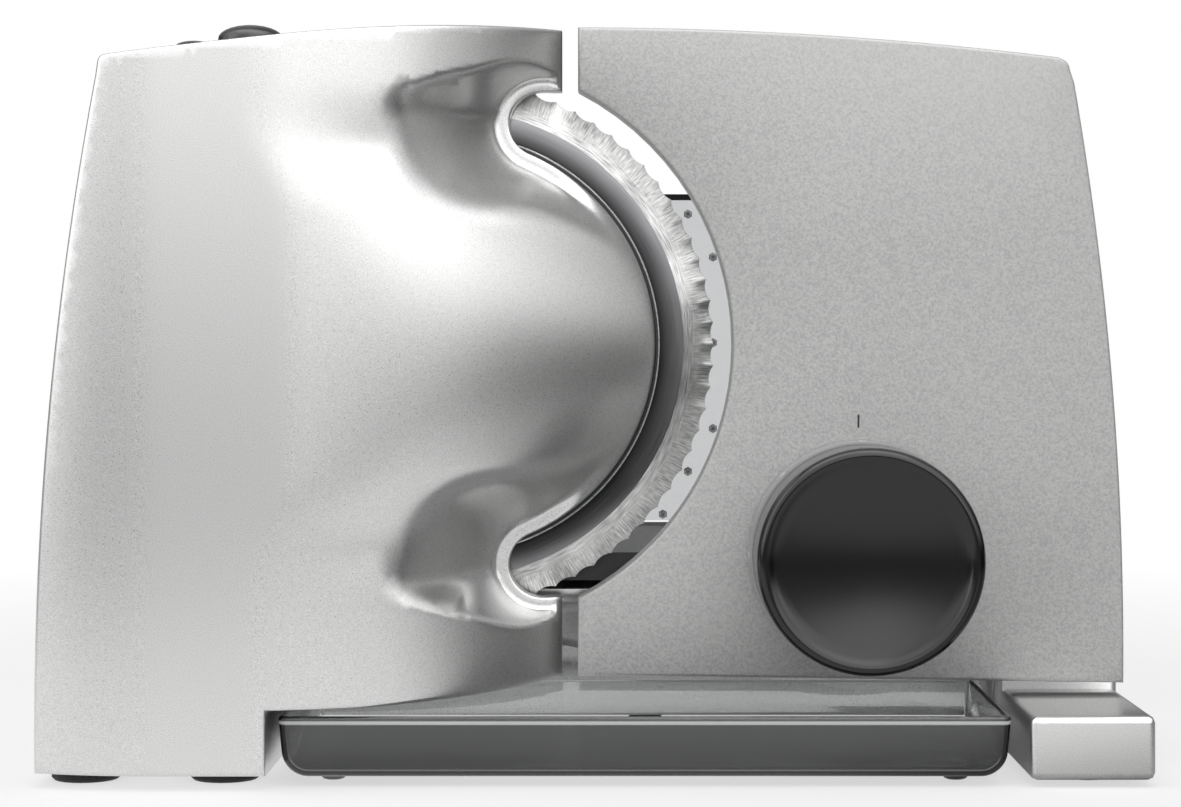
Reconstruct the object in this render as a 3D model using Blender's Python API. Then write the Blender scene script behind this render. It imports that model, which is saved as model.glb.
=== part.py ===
"""Electric food slicer for the kitchen, as an assembly of separate pieces.

Metres, +Z up. +X runs from the motor housing to the thickness knob, -Y is the side where the slices fall and
+Y is the side where the food lies. The origin is on the table, under the middle of the machine.
"""

import math

import bmesh
import bpy
from mathutils import Vector

# Whole machine
half_width = 0.168
half_depth = 0.1125
seat_gap = 0.0003
cut_overrun = 0.004
fuse_overlap = 0.001
foot_height = 0.004

# Blade, seen from the slice side
blade_inset = 0.1207
blade_z = 0.1326
blade_behind_plane = 0.0013
blade_radius = 0.085
blade_thickness = 0.001
blade_edge_thickness = 0.0003
blade_tooth_depth = 0.0018
blade_bevel_width = 0.010
blade_bore_radius = 0.009
blade_teeth = 72

# Blade drive: gear, hub and fixed axle
blade_gear_module = 0.001
blade_gear_teeth = 56
pinion_teeth = 14
gear_addendum = 0.0008
gear_dedendum = 0.0011
gear_width = 0.005
gear_thickness_share = 0.43
pressure_angle = math.radians(20)
hub_flange_radius = 0.014
hub_flange_thickness = 0.0018
hub_radius = 0.0072
blade_axle_radius = 0.005
blade_axle_head_radius = 0.008
blade_axle_head_height = 0.0032
blade_axle_end_gap = 0.0006

# Blade lock on the food side
lock_radius = 0.017
lock_height = 0.0054
lock_grip_length = 0.024
lock_grip_width = 0.006
lock_grip_depth = 0.0018

# Front housing
housing_wall = 0.0025
front_wall = 0.0030
housing_depth = 0.064
housing_left_fall = 0.006
left_fall_width = 0.038
lip_depth = 0.008
edge_chamfer = 0.0015
side_bow_radius = 1.005
side_bow_z = 0.016
top_bow_radius = 2.94
top_fall = 0.0765
tab_offset = 0.0363
tab_height = 0.0194
housing_skirt_z = 0.0268
housing_skirt_drop = 0.0033
skirt_fan_height = 0.010
column_width = 0.070
lip_below_teeth = 0.0192
blade_front_gap = 0.0008
blade_proud = 0.0007
slot_end_radius = 0.0104
slot_end_below_teeth = 0.0088
slot_end_angle = math.radians(66.8)
blend_start_height = 0.040
blend_end_height = 0.078
collar_width = 0.0045
collar_steepness = 1.7
tab_steepness = 5.0
collar_softness = 0.006
collar_start_height = 0.030
collar_full_height = 0.052
limit_softness = 0.012
roll_end_edge_offset = 0.0627
roll_end_middle_offset = 0.0477
roll_edge_power = 2.7
roll_middle_power = 2.0

# Posts and screws that hold the housing together
post_radius = 0.004
screw_head_radius = 0.0034
screw_head_height = 0.0022
screw_shank_radius = 0.0016
screw_shank_length = 0.012
screw_hole_radius = 0.0019
post_inset = 0.018
cover_post_inset = 0.026
cover_post_drop = 0.024
low_cover_post_inset = 0.0135
low_cover_post_drop = 0.0126
base_post_z = 0.022
right_base_post_inset = 0.056
frame_post_drop = 0.0326
upper_frame_post = (0.0367, 0.0624)
lower_frame_post = (0.0187, 0.0966)

# Rear cover
cover_thickness = 0.0026
blade_recess_gap = 0.0018

# Gear frame, motor and worm
frame_gap_to_gear = 0.0014
frame_thickness = 0.0025
frame_arm_radius = 0.0075
frame_axle_disc_radius = 0.013
pinion_shaft_radius = 0.004
pinion_bush_radius = 0.007
pinion_boss_radius = 0.0105
pinion_boss_length = 0.0165
wheel_module = 0.0016
wheel_teeth = 24
wheel_addendum = 0.0012
wheel_dedendum = 0.0015
wheel_thickness_share = 0.38
wheel_width = 0.008
wheel_gap_to_boss = 0.002
worm_starts = 2
worm_pitch_radius = 0.0055
worm_length = 0.0251
worm_shaft_radius = 0.0025
shaft_end_length = 0.0045
motor_radius = 0.022
motor_wall = 0.0015
motor_height = 0.062
motor_gap_to_frame = 0.0005
motor_cap_thickness = 0.004
motor_shaft_hole_radius = 0.0032
magnet_thickness = 0.0045
magnet_span = math.radians(120)
magnet_height = 0.042
magnet_lift = 0.012
armature_radius = 0.0150
armature_height = 0.036
armature_slots = 6
armature_slot_depth = 0.005
commutator_radius = 0.0065
commutator_height = 0.007
commutator_gap = 0.002
fan_radius = 0.014
fan_height = 0.0045
fan_blades = 8
fan_hub_radius = 0.006
frame_lug_thickness = 0.003
lug_margin = 0.0005
lug_gap_below_wheel = 0.0066
bearing_lug_half_width = 0.009
bearing_radius = 0.0055
bearing_gap_above_worm = 0.0044
bearing_height = 0.0043

# Power switch, buttons and springs
button_setback = 0.0315
power_button_inset = 0.0614
power_button_half_width = 0.0100
power_button_half_depth = 0.0080
power_button_rise = 0.0075
lock_button_inset = 0.0440
lock_button_half_width = 0.0062
lock_button_half_depth = 0.0062
lock_button_rise = 0.0046
button_length = 0.0165
button_dome = 0.0012
button_gap = 0.0004
switch_left_inset = 0.034
switch_right_inset = 0.075
switch_half_depth = 0.0115
switch_height = 0.027
well_floor = 0.004
spring_wire_radius = 0.0004
spring_radius = 0.0032
spring_turns = 4

# Base casting
base_left_inset = 0.003
base_rear_inset = 0.0505
deck_top_z = 0.0534
deck_lip_height = 0.0078
deck_thickness = 0.004
base_front_gap = 0.0052
base_wall = 0.004
bay_right_inset = 0.037
bridge_setback = 0.0305
bridge_thickness = 0.0035
bridge_clearance_z = 0.0085
pad_top_z = 0.040
foot_block_width = 0.0376
foot_block_front_inset = 0.006
foot_block_bottom_z = 0.0019
foot_block_top_z = 0.0212
foot_block_chamfer = 0.0022
corner_boss_side = 0.022

# Rubber feet: places are x, y
housing_foot_radius = 0.0105
housing_foot_insets = (0.0125, 0.055)
housing_foot_setback = 0.0235
base_foot_radius = 0.009
base_foot_inset = 0.013
block_foot_inset = 0.018
block_foot_setback = 0.0215
bridge_foot_radius = 0.0055
bridge_foot_offset = 0.0218
foot_bevel = 0.0008

# Cord gland
gland_inset = 0.025
gland_z = 0.026
gland_radius = 0.0055
gland_flange_radius = 0.0085
gland_flange_thickness = 0.0025
gland_bore_radius = 0.0035
gland_nose_length = 0.010

# Stop plate
plate_left_offset = 0.0415
plate_right_inset = 0.0009
plate_bottom_left_z = 0.0276
plate_bottom_right_z = 0.0253
plate_above_tab = 0.0006
plate_arc_gap = 0.0055
plate_depth = 0.012
plate_wall = 0.0025
plate_chamfer = 0.0008
plate_corner_radius = 0.003
plate_side_bow_radius = 1.044
plate_side_bow_z = 0.035
plate_top_bow_radius = 1.2225
facing_thickness = 0.0012
plate_travel = 0.020

# Stop plate guides
rod_radius = 0.004
rod_z = 0.036
rod_left_inset = 0.0408
rod_right_inset = 0.0521
rod_rear_gap = 0.030
rod_boss_radius = 0.0080
bush_radius = 0.007
bush_length = 0.018
bush_flange_radius = 0.0090
bush_flange_thickness = 0.0025

# Thickness knob, its scale ring, cam and cam post
knob_off_middle = 0.00275
knob_z = 0.0667
knob_radius = 0.0348
knob_rim_radius = 0.0322
knob_rim_round = 0.0020
knob_length = 0.042
knob_dish = 0.0035
knob_wall = 0.003
knob_skirt_length = 0.0150
scale_ring_radius = 0.0355
scale_ring_bore_radius = 0.0245
ring_gap = 0.0006
knob_hub_radius = 0.010
knob_axle_radius = 0.0056
knob_hub_clearance = 0.0004
knob_boss_radius = 0.0115
cam_inner_radius = 0.013
cam_outer_radius = 0.022
cam_post_drop = 0.0172
cam_post_radius = 0.0035
cam_post_tip_radius = 0.0012
cam_post_tip_height = 0.002
cam_low_depth = 0.0213
cam_clearance = 0.00045
cam_travel_angle = math.radians(330)
cam_step_angle = math.radians(345)
cam_post_hole_radius = 0.0048
cam_post_seat_length = 0.012

# Slice tray
tray_left_inset = 0.0729
tray_right_inset = 0.043
tray_front_inset = 0.006
tray_rear_gap = 0.006
tray_rim_z = 0.0210
tray_bottom_z = 0.0026
tray_draft = 0.0015
tray_wall = 0.002
tray_corner_radius = 0.0075
tray_front_corner_radius = 0.003
tray_foot_radius = 0.004
tray_foot_height = 0.0022
tray_foot_inset_x = 0.0155
tray_foot_inset_y = 0.014

# Food carriage and its rail
carriage_left_offset = 0.0053
carriage_right_inset = 0.060
carriage_front_gap = 0.0092
carriage_bottom_z = 0.0560
carriage_top_z = 0.0650
carriage_wall = 0.0026
carriage_corner_radius = 0.004
fence_thickness = 0.008
fence_top_z = 0.135
fence_front_gap = 0.002
rail_left_inset = 0.020
rail_right_inset = 0.016
rail_inset = 0.018
rail_half_width = 0.004
rail_height = 0.0048
runner_half_width = 0.008
notch_gap = 0.0008
runner_end_gap = 0.004

# Pusher
pusher_left_gap = 0.020
pusher_right_gap = 0.016
pusher_inset = 0.0145
pusher_thickness = 0.003
pusher_bottom_z = 0.0665
pusher_top_z = 0.189
pusher_corner_radius = 0.012
nub_pitch_z = 0.0161
nub_pitch_x = 0.0188
nub_radius = 0.0022
nub_height = 0.003
nub_margin = 0.008
lowest_nub_height = 0.0023
bracket_height = 0.021
bracket_above_fence = 0.006
bracket_wall = 0.0045
bracket_arm_length = 0.038
bracket_arm_thickness = 0.0035
bracket_inset = 0.0245

# Facets
round_steps = 24
small_steps = 12
arc_steps = 14
worm_turn_steps = 16
worm_rows = 28
cam_steps = 36
spring_steps = 8
spring_sides = 5
spread_shares = (0.14, 0.28, 0.42, 0.55, 0.66, 0.76, 0.85, 0.93)

# Worked-out places across the machine
blade_x = blade_inset - half_width
column_right_x = column_width - half_width
housing_left_fall_start_x = left_fall_width - half_width
roll_end_edge_x = blade_x - roll_end_edge_offset
roll_end_middle_x = blade_x - roll_end_middle_offset
tab_x = blade_x + tab_offset
power_button_x = power_button_inset - half_width
lock_button_x = lock_button_inset - half_width
switch_left_x = switch_left_inset - half_width
switch_right_x = switch_right_inset - half_width
base_left_x = base_left_inset - half_width
bay_right_x = half_width - bay_right_inset
foot_block_left_x = half_width - foot_block_width
gland_x = base_left_x + gland_inset
plate_left_x = blade_x + plate_left_offset
plate_right_x = half_width - plate_right_inset
knob_x = (plate_left_x + plate_right_x) / 2 + knob_off_middle
rod_places_x = (plate_left_x + rod_left_inset, plate_right_x - rod_right_inset)
bridge_foot_x = plate_left_x + bridge_foot_offset
tray_left_x = tray_left_inset - half_width
tray_right_x = half_width - tray_right_inset
carriage_left_x = blade_x + carriage_left_offset
carriage_right_x = half_width - carriage_right_inset
rail_left_x = base_left_x + rail_left_inset
rail_right_x = half_width - rail_right_inset
pusher_left_x = carriage_left_x + pusher_left_gap
pusher_right_x = carriage_right_x - pusher_right_gap

# Worked-out radii and heights round the blade
cover_lip_radius = blade_radius - lip_below_teeth
slot_end_middle_radius = blade_radius - slot_end_below_teeth
plate_arc_radius = blade_radius + plate_arc_gap
tab_top_z = blade_z + slot_end_middle_radius * math.sin(slot_end_angle) + slot_end_radius + tab_height
plate_top_z = tab_top_z + plate_above_tab

# Worked-out levels along Y
housing_plane_y = housing_depth - half_depth
blade_back_y = housing_plane_y + blade_behind_plane
base_front_y = blade_back_y + base_front_gap
base_rear_y = half_depth - base_rear_inset
bridge_front_y = base_front_y + bridge_setback
foot_block_front_y = foot_block_front_inset - half_depth
tray_front_y = tray_front_inset - half_depth
tray_rear_y = bridge_front_y - tray_rear_gap
rod_rear_y = base_rear_y - rod_rear_gap
rail_y = base_rear_y - rail_inset
carriage_front_y = blade_back_y + carriage_front_gap
pusher_front_y = half_depth - pusher_inset
bracket_front_y = half_depth - bracket_inset
button_y = housing_plane_y - button_setback
blade_front_y = blade_back_y - blade_thickness
lip_rim_y = blade_front_y - blade_front_gap
cover_face_y = blade_back_y - blade_proud
cover_front_y = cover_face_y - cover_thickness
hub_rear_y = blade_front_y - seat_gap
gear_rear_y = hub_rear_y - hub_flange_thickness - seat_gap
gear_front_y = gear_rear_y - gear_width
frame_rear_y = gear_front_y - frame_gap_to_gear
frame_front_y = frame_rear_y - frame_thickness
boss_front_y = frame_front_y - pinion_boss_length
wheel_rear_y = boss_front_y - wheel_gap_to_boss
wheel_front_y = wheel_rear_y - wheel_width
wheel_middle_y = wheel_rear_y - wheel_width / 2
plate_rear_y = blade_back_y - seat_gap
facing_front_y = plate_rear_y - facing_thickness
plate_rim_y = facing_front_y - seat_gap
plate_front_y = plate_rear_y - plate_depth
knob_front_y = plate_front_y - knob_length

# Worked-out places of the gear train
blade_gear_radius = blade_gear_module * blade_gear_teeth / 2
pinion_radius = blade_gear_module * pinion_teeth / 2
pinion_x = blade_x - blade_gear_radius - pinion_radius
wheel_radius = wheel_module * wheel_teeth / 2
worm_x = pinion_x - wheel_radius - worm_pitch_radius
worm_y = wheel_middle_y
worm_axial_pitch = math.pi * wheel_module
worm_lead = worm_axial_pitch * worm_starts
lug_top_z = blade_z - wheel_radius - wheel_addendum - lug_gap_below_wheel
motor_top_z = lug_top_z - frame_lug_thickness - seat_gap
motor_bottom_z = motor_top_z - motor_height
bearing_bottom_z = blade_z + worm_length / 2 + bearing_gap_above_worm
cam_post_z = knob_z - cam_post_drop
bay_left_x = tray_left_x - seat_gap

# Worked-out places of the posts and feet: posts are x, z and feet are x, y
cover_post_places = (
    (cover_post_inset - half_width, tab_top_z - cover_post_drop),
    (low_cover_post_inset - half_width, blade_z - low_cover_post_drop),
)
base_post_places = (
    (post_inset - half_width, base_post_z),
    (right_base_post_inset - half_width, base_post_z),
)
frame_post_places = (
    (post_inset - half_width, blade_z - frame_post_drop),
    (blade_x - upper_frame_post[0], blade_z + upper_frame_post[1]),
    (blade_x - lower_frame_post[0], blade_z - lower_frame_post[1]),
)
housing_foot_places = tuple((inset - half_width, housing_foot_setback - half_depth) for inset in housing_foot_insets)
base_foot_places = (
    (base_left_x + base_foot_inset, base_rear_y - base_foot_inset),
    (half_width - base_foot_inset, base_rear_y - base_foot_inset),
)
block_foot_place = (half_width - block_foot_inset, foot_block_front_y + block_foot_setback)

ALONG_Y = (-math.pi / 2, 0, 0)


def clear_scene():
    for thing in list(bpy.data.objects):
        bpy.data.objects.remove(thing)


def look(name, red, green, blue, roughness, metallic=0, alpha=1):
    """A Principled material for one kind of surface."""
    found = bpy.data.materials.new(name)
    found.use_nodes = True
    shader = found.node_tree.nodes["Principled BSDF"]
    shader.inputs["Base Color"].default_value = (red, green, blue, 1)
    shader.inputs["Roughness"].default_value = roughness
    shader.inputs["Metallic"].default_value = metallic
    shader.inputs["Alpha"].default_value = alpha
    return found


def pivot(name, place):
    """An empty on a joint's axis, which carries what moves there."""
    empty = bpy.data.objects.new(name, None)
    empty.location = place
    bpy.context.collection.objects.link(empty)
    return empty


def solid(name, mesh, finish=None, place=(0, 0, 0), turn=(0, 0, 0), carrier=None):
    """An object from a bmesh, shaded smooth where its faces nearly agree."""
    data = bpy.data.meshes.new(name)
    mesh.to_mesh(data)
    mesh.free()
    made = bpy.data.objects.new(name, data)
    if finish:
        data.materials.append(finish)
    data.shade_smooth()
    data.set_sharp_from_angle(angle=math.radians(35))
    made.rotation_euler = turn
    made.location = place
    bpy.context.collection.objects.link(made)
    if carrier:
        made.parent = carrier
        made.location = Vector(place) - carrier.location
    return made


def combine(target, tool, operation):
    """Fuses or carves the target with the tool, and removes the tool."""
    step = target.modifiers.new(operation.title(), "BOOLEAN")
    step.operation = operation
    step.solver = "EXACT"
    step.object = tool
    bpy.context.view_layer.update()
    graph = bpy.context.evaluated_depsgraph_get()
    data = bpy.data.meshes.new_from_object(target.evaluated_get(graph))
    target.modifiers.remove(step)
    target.data = data
    bpy.data.objects.remove(tool)
    data.shade_smooth()
    data.set_sharp_from_angle(angle=math.radians(35))


def fuse(target, *tools):
    for tool in tools:
        combine(target, tool, "UNION")


def carve(target, *tools):
    for tool in tools:
        combine(target, tool, "DIFFERENCE")


def thicken(target, wall):
    """Gives an open skin its wall, on the inner side."""
    step = target.modifiers.new("Wall", "SOLIDIFY")
    step.thickness = wall
    step.offset = -1
    step.use_even_offset = True
    step.use_quality_normals = True
    bpy.context.view_layer.update()
    graph = bpy.context.evaluated_depsgraph_get()
    data = bpy.data.meshes.new_from_object(target.evaluated_get(graph))
    target.modifiers.remove(step)
    target.data = data


def circle(radius, steps, start=0.0, squash=1.0):
    """Points round a circle, or round an ellipse where squash isn't 1."""
    turns = [start + 2 * math.pi * step / steps for step in range(steps)]
    return [(radius * math.cos(turn), radius * squash * math.sin(turn)) for turn in turns]


def bridge(mesh, first, second):
    for at, corner in enumerate(first):
        after = (at + 1) % len(first)
        mesh.faces.new((corner, first[after], second[after], second[at]))


def stack(layers, hollow=False):
    """A solid from outlines of equal length, each (points, height), with flat ends or a hole through."""
    mesh = bmesh.new()
    rings = [[mesh.verts.new((x, y, height)) for x, y in points] for points, height in layers]
    for first, second in zip(rings, rings[1:]):
        bridge(mesh, first, second)
    if hollow:
        bridge(mesh, rings[-1], rings[0])
    else:
        mesh.faces.new(list(reversed(rings[0])))
        mesh.faces.new(rings[-1])
    bmesh.ops.recalc_face_normals(mesh, faces=mesh.faces)
    return mesh


def turned(profile, steps=round_steps, hollow=False, squash=1.0):
    """A turned solid about its own Z: profile is (radius, height)."""
    return stack([(circle(radius, steps, 0.0, squash), height) for radius, height in profile], hollow)


def tube(inner, outer, low, high, steps=round_steps):
    return turned(((inner, low), (outer, low), (outer, high), (inner, high)), steps, hollow=True)


def rod(radius, low, high, steps=small_steps):
    return turned(((radius, low), (radius, high)), steps)


def plate(outline, low_y, high_y):
    """A flat piece parallel to the blade: the outline's points are x, z."""
    mesh = bmesh.new()
    front = [mesh.verts.new((x, low_y, z)) for x, z in outline]
    rear = [mesh.verts.new((x, high_y, z)) for x, z in outline]
    bridge(mesh, front, rear)
    mesh.faces.new(list(reversed(front)))
    mesh.faces.new(rear)
    bmesh.ops.recalc_face_normals(mesh, faces=mesh.faces)
    return mesh


def block(low, high, round_edges=0.0, along=None, segments=2):
    """A box between two corners. Its edges are rounded, or only those along one axis."""
    mesh = bmesh.new()
    bmesh.ops.create_cube(mesh, size=1)
    size = Vector(high) - Vector(low)
    bmesh.ops.scale(mesh, vec=size, verts=mesh.verts)
    bmesh.ops.translate(mesh, vec=(Vector(high) + Vector(low)) / 2, verts=mesh.verts)
    if round_edges:
        edges = mesh.edges[:]
        if along is not None:
            edges = [edge for edge in edges if abs((edge.verts[0].co - edge.verts[1].co)[along]) > size[along] / 2]
        bmesh.ops.bevel(mesh, geom=edges, offset=round_edges, segments=segments, profile=0.5, affect="EDGES")
    return mesh


def arc(centre, radius, start, end, steps):
    """Points on a circle in x, z from one angle to the other, both included."""
    turns = [start + (end - start) * step / steps for step in range(steps + 1)]
    return [(centre[0] + radius * math.cos(turn), centre[1] + radius * math.sin(turn)) for turn in turns]


def hull(points):
    """The outline of the convex shape round the points, going round anticlockwise."""
    ordered = sorted(set(points))

    def half(run):
        kept = []
        for point in run:
            while len(kept) > 1 and cross(kept[-2], kept[-1], point) <= 0:
                kept.pop()
            kept.append(point)
        return kept[:-1]

    return half(ordered) + half(ordered[::-1])


def cross(first, second, third):
    across = (second[0] - first[0]) * (third[1] - first[1])
    return across - (second[1] - first[1]) * (third[0] - first[0])


def smooth_step(share):
    share = min(max(share, 0.0), 1.0)
    return share * share * (3 - 2 * share)


# Shape of the front housing

def housing_left(z):
    return -half_width + (z - side_bow_z) ** 2 / (2 * side_bow_radius)


def housing_top(x):
    return tab_top_z - top_fall * (tab_x - x) - (x - tab_x) ** 2 / (2 * top_bow_radius)


def slot_end_centre(side):
    """Middle of the round end of the blade's slot: side is 1 for the upper one and -1 for the lower one."""
    out = slot_end_middle_radius
    return blade_x + out * math.cos(slot_end_angle), blade_z + side * out * math.sin(slot_end_angle)


def right_limit(z):
    """How far right the housing's roll would reach at this height, if the blade had no slot."""
    height = abs(z - blade_z)
    round_x = blade_x + math.sqrt(max(cover_lip_radius**2 - height**2, 0.0))
    return -soft_least(-round_x, -tab_x, limit_softness)


def slot_distance(x, z):
    """How far a point of the front is from the slot that the blade shows through."""
    height = abs(z - blade_z)
    centre_x = slot_end_centre(1)[0]
    centre_height = slot_end_middle_radius * math.sin(slot_end_angle)
    if math.atan2(height, x - blade_x) < slot_end_angle:
        return max(0.0, cover_lip_radius - math.hypot(x - blade_x, height))
    if x > centre_x and height > centre_height:
        return max(0.0, height - centre_height - slot_end_radius)
    return max(0.0, math.hypot(x - centre_x, height - centre_height) - slot_end_radius)


def soft_least(first, second, softness):
    """The lesser of two values, rounded off where they meet."""
    share = min(max(0.5 + 0.5 * (second - first) / softness, 0), 1)
    return second * (1 - share) + first * share - softness * share * (1 - share)


def front_depth(x, z):
    """How far the housing's front stands in front of the plane of its lip's foot."""
    height = abs(z - blade_z)
    edge_share = smooth_step((height - blend_start_height) / (blend_end_height - blend_start_height))
    roll_end_x = roll_end_middle_x + edge_share * (roll_end_edge_x - roll_end_middle_x)
    limit = right_limit(z)
    share = min(max((limit - x) / (limit - roll_end_x), 0.0), 1.0)
    edge_rise = 1 - (1 - share) ** roll_edge_power
    middle_rise = 1 - (1 - share) ** roll_middle_power
    rise = middle_rise + edge_share * (edge_rise - middle_rise)
    depth = lip_depth + (housing_depth - lip_depth) * rise
    collar_share = smooth_step((height - collar_start_height) / (collar_full_height - collar_start_height))
    centre_x = slot_end_centre(1)[0]
    over = height - slot_end_middle_radius * math.sin(slot_end_angle)
    lean = max(0.0, over) / max(math.hypot(min(x - centre_x, 0.0), over), seat_gap)
    steepness = collar_steepness + smooth_step(lean) * (tab_steepness - collar_steepness)
    wall = lip_depth + steepness * max(0.0, slot_distance(x, z) - collar_width)
    depth += collar_share * (soft_least(depth, wall, collar_softness) - depth)
    if x < housing_left_fall_start_x:
        fall_share = (housing_left_fall_start_x - x) / (housing_left_fall_start_x + half_width)
        depth -= housing_left_fall * fall_share**2
    return depth


def front_y(x, z):
    return housing_plane_y - front_depth(x, z)


def right_edge(inset):
    """Points up the housing's right edge, drawn in by the inset, each (x, z, is it beside the blade)."""
    column_x = column_right_x - inset
    column_top_z = housing_skirt_z - housing_skirt_drop + inset
    edge = [(column_x, foot_height + inset, False), (column_x, foot_height + edge_chamfer + inset, False)]
    edge.append((column_x, column_top_z, False))
    for share in (0.25, 0.5, 0.7, 0.85, 1):
        x = column_x + share * (tab_x - inset - column_x)
        edge.append((x, column_top_z + share * housing_skirt_drop, False))
    lower, upper = slot_end_centre(-1), slot_end_centre(1)
    end_radius = slot_end_radius + inset
    edge.append((tab_x - inset, lower[1] - end_radius, False))
    meet = math.pi - slot_end_angle
    edge += [(x, z, True) for x, z in arc(lower, end_radius, 1.5 * math.pi, meet, 4)]
    sweep = arc((blade_x, blade_z), cover_lip_radius - inset, -slot_end_angle, slot_end_angle, arc_steps)
    edge += [(x, z, True) for x, z in sweep[1:-1]]
    edge += [(x, z, True) for x, z in arc(upper, end_radius, -meet, -1.5 * math.pi, 4)]
    edge.append((tab_x - inset, upper[1] + end_radius, False))
    edge.append((tab_x - inset, tab_top_z - edge_chamfer - inset, False))
    edge.append((tab_x - inset, tab_top_z - inset, False))
    return edge


def housing_rows(inset):
    """The front's points, row by row from the bottom, each row from the left edge to the right one."""
    edge = right_edge(inset)
    skirt_index = 7
    lengths = [0.0]
    for (first_x, first_z, _), (second_x, second_z, _) in zip(edge[skirt_index:], edge[skirt_index + 1:]):
        lengths.append(lengths[-1] + math.hypot(second_x - first_x, second_z - first_z))
    corner_z = housing_top(housing_left(tab_top_z)) - inset
    column_top_z = housing_skirt_z - housing_skirt_drop + inset
    skirt_left_z = housing_skirt_z + skirt_fan_height
    wall = front_wall if inset else 0
    chamfer = 0 if inset else edge_chamfer
    rows = []
    for index, (right_x, right_z, beside) in enumerate(edge):
        if index < 2:
            left_z = right_z
        elif index <= skirt_index:
            share = (index - 2) / (skirt_index - 2)
            left_z = column_top_z + share * (skirt_left_z - column_top_z)
        elif index < len(edge) - 2:
            share = lengths[index - skirt_index] / lengths[-1]
            left_z = skirt_left_z + share * (corner_z - skirt_left_z)
        else:
            left_z = corner_z - edge_chamfer * (len(edge) - 1 - index)
        left_x = housing_left(left_z) + inset
        length = math.hypot(right_x - left_x, right_z - left_z)
        end_share = edge_chamfer / length
        bow_share = max(left_z - blade_z, 0) ** 2 / (corner_z - blade_z) ** 2
        row = []
        for share in (0, end_share, *spread_shares, 1 - end_share, 1):
            x = left_x + share * (right_x - left_x)
            z = left_z + share * (right_z - left_z)
            chord_z = corner_z + share * (tab_top_z - inset - corner_z)
            z += bow_share * (housing_top(x) - inset - chord_z)
            outer = share in (0, 1) or index in (0, len(edge) - 1)
            row.append((x, front_y(x, z) + wall + outer * chamfer, z, beside and share == 1))
        rows.append(row)
    return rows


def housing_shell():
    """The housing: its front, and walls from the front's edge back to the rim, outside and inside."""
    mesh = bmesh.new()
    feet = []
    for inset in (0.0, housing_wall):
        rows = housing_rows(inset)
        grid = [[mesh.verts.new(point[:3]) for point in row] for row in rows]
        for low, high in zip(grid, grid[1:]):
            for at in range(len(low) - 1):
                mesh.faces.new((low[at], low[at + 1], high[at + 1], high[at]))
        last = len(grid[0]) - 1
        loop = [(0, at) for at in range(last)]
        loop += [(at, last) for at in range(len(grid) - 1)]
        loop += [(len(grid) - 1, at) for at in range(last, 0, -1)]
        loop += [(at, 0) for at in range(len(grid) - 1, 0, -1)]
        edge = [grid[row][at] for row, at in loop]
        rims = [lip_rim_y if rows[row][at][3] else cover_face_y for row, at in loop]
        feet.append([mesh.verts.new((corner.co.x, rim, corner.co.z)) for corner, rim in zip(edge, rims)])
        bridge(mesh, edge, feet[-1])
    bridge(mesh, *feet)
    bmesh.ops.recalc_face_normals(mesh, faces=mesh.faces)
    return mesh


def post_front_y(place):
    return front_y(*place) + front_wall / 2


def post(name, place, rear_y, seat):
    """A round post on the inside of the housing's front, with a blind screw hole. It is fused on."""
    made = solid(name, rod(post_radius, post_front_y(place), rear_y), seat, (place[0], 0, place[1]), ALONG_Y)
    hole = rod(screw_hole_radius, rear_y - screw_shank_length - fuse_overlap, rear_y + cut_overrun)
    carve(made, solid("screw hole", hole, None, (place[0], 0, place[1]), ALONG_Y))
    return made


def button_cut(x, half_width_x, half_depth_y, low_z, high_z):
    """A cutter for the hole or well that a button runs in."""
    squash = (half_depth_y + button_gap) / (half_width_x + button_gap)
    outline = circle(half_width_x + button_gap, round_steps, 0.0, squash)
    return solid("button cut", stack([(outline, low_z), (outline, high_z)]), None, (x, button_y, 0))


def front_housing(finish):
    housing = solid("front_housing", housing_shell(), finish)
    for place in cover_post_places + base_post_places:
        fuse(housing, post("cover post", place, cover_front_y - seat_gap, finish))
    for place in frame_post_places:
        fuse(housing, post("frame post", place, frame_front_y - seat_gap, finish))
    low_z = switch_top_z() - cut_overrun
    high_z = tab_top_z + cut_overrun
    carve(housing, button_cut(power_button_x, power_button_half_width, power_button_half_depth, low_z, high_z))
    carve(housing, button_cut(lock_button_x, lock_button_half_width, lock_button_half_depth, low_z, high_z))
    return housing


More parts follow.
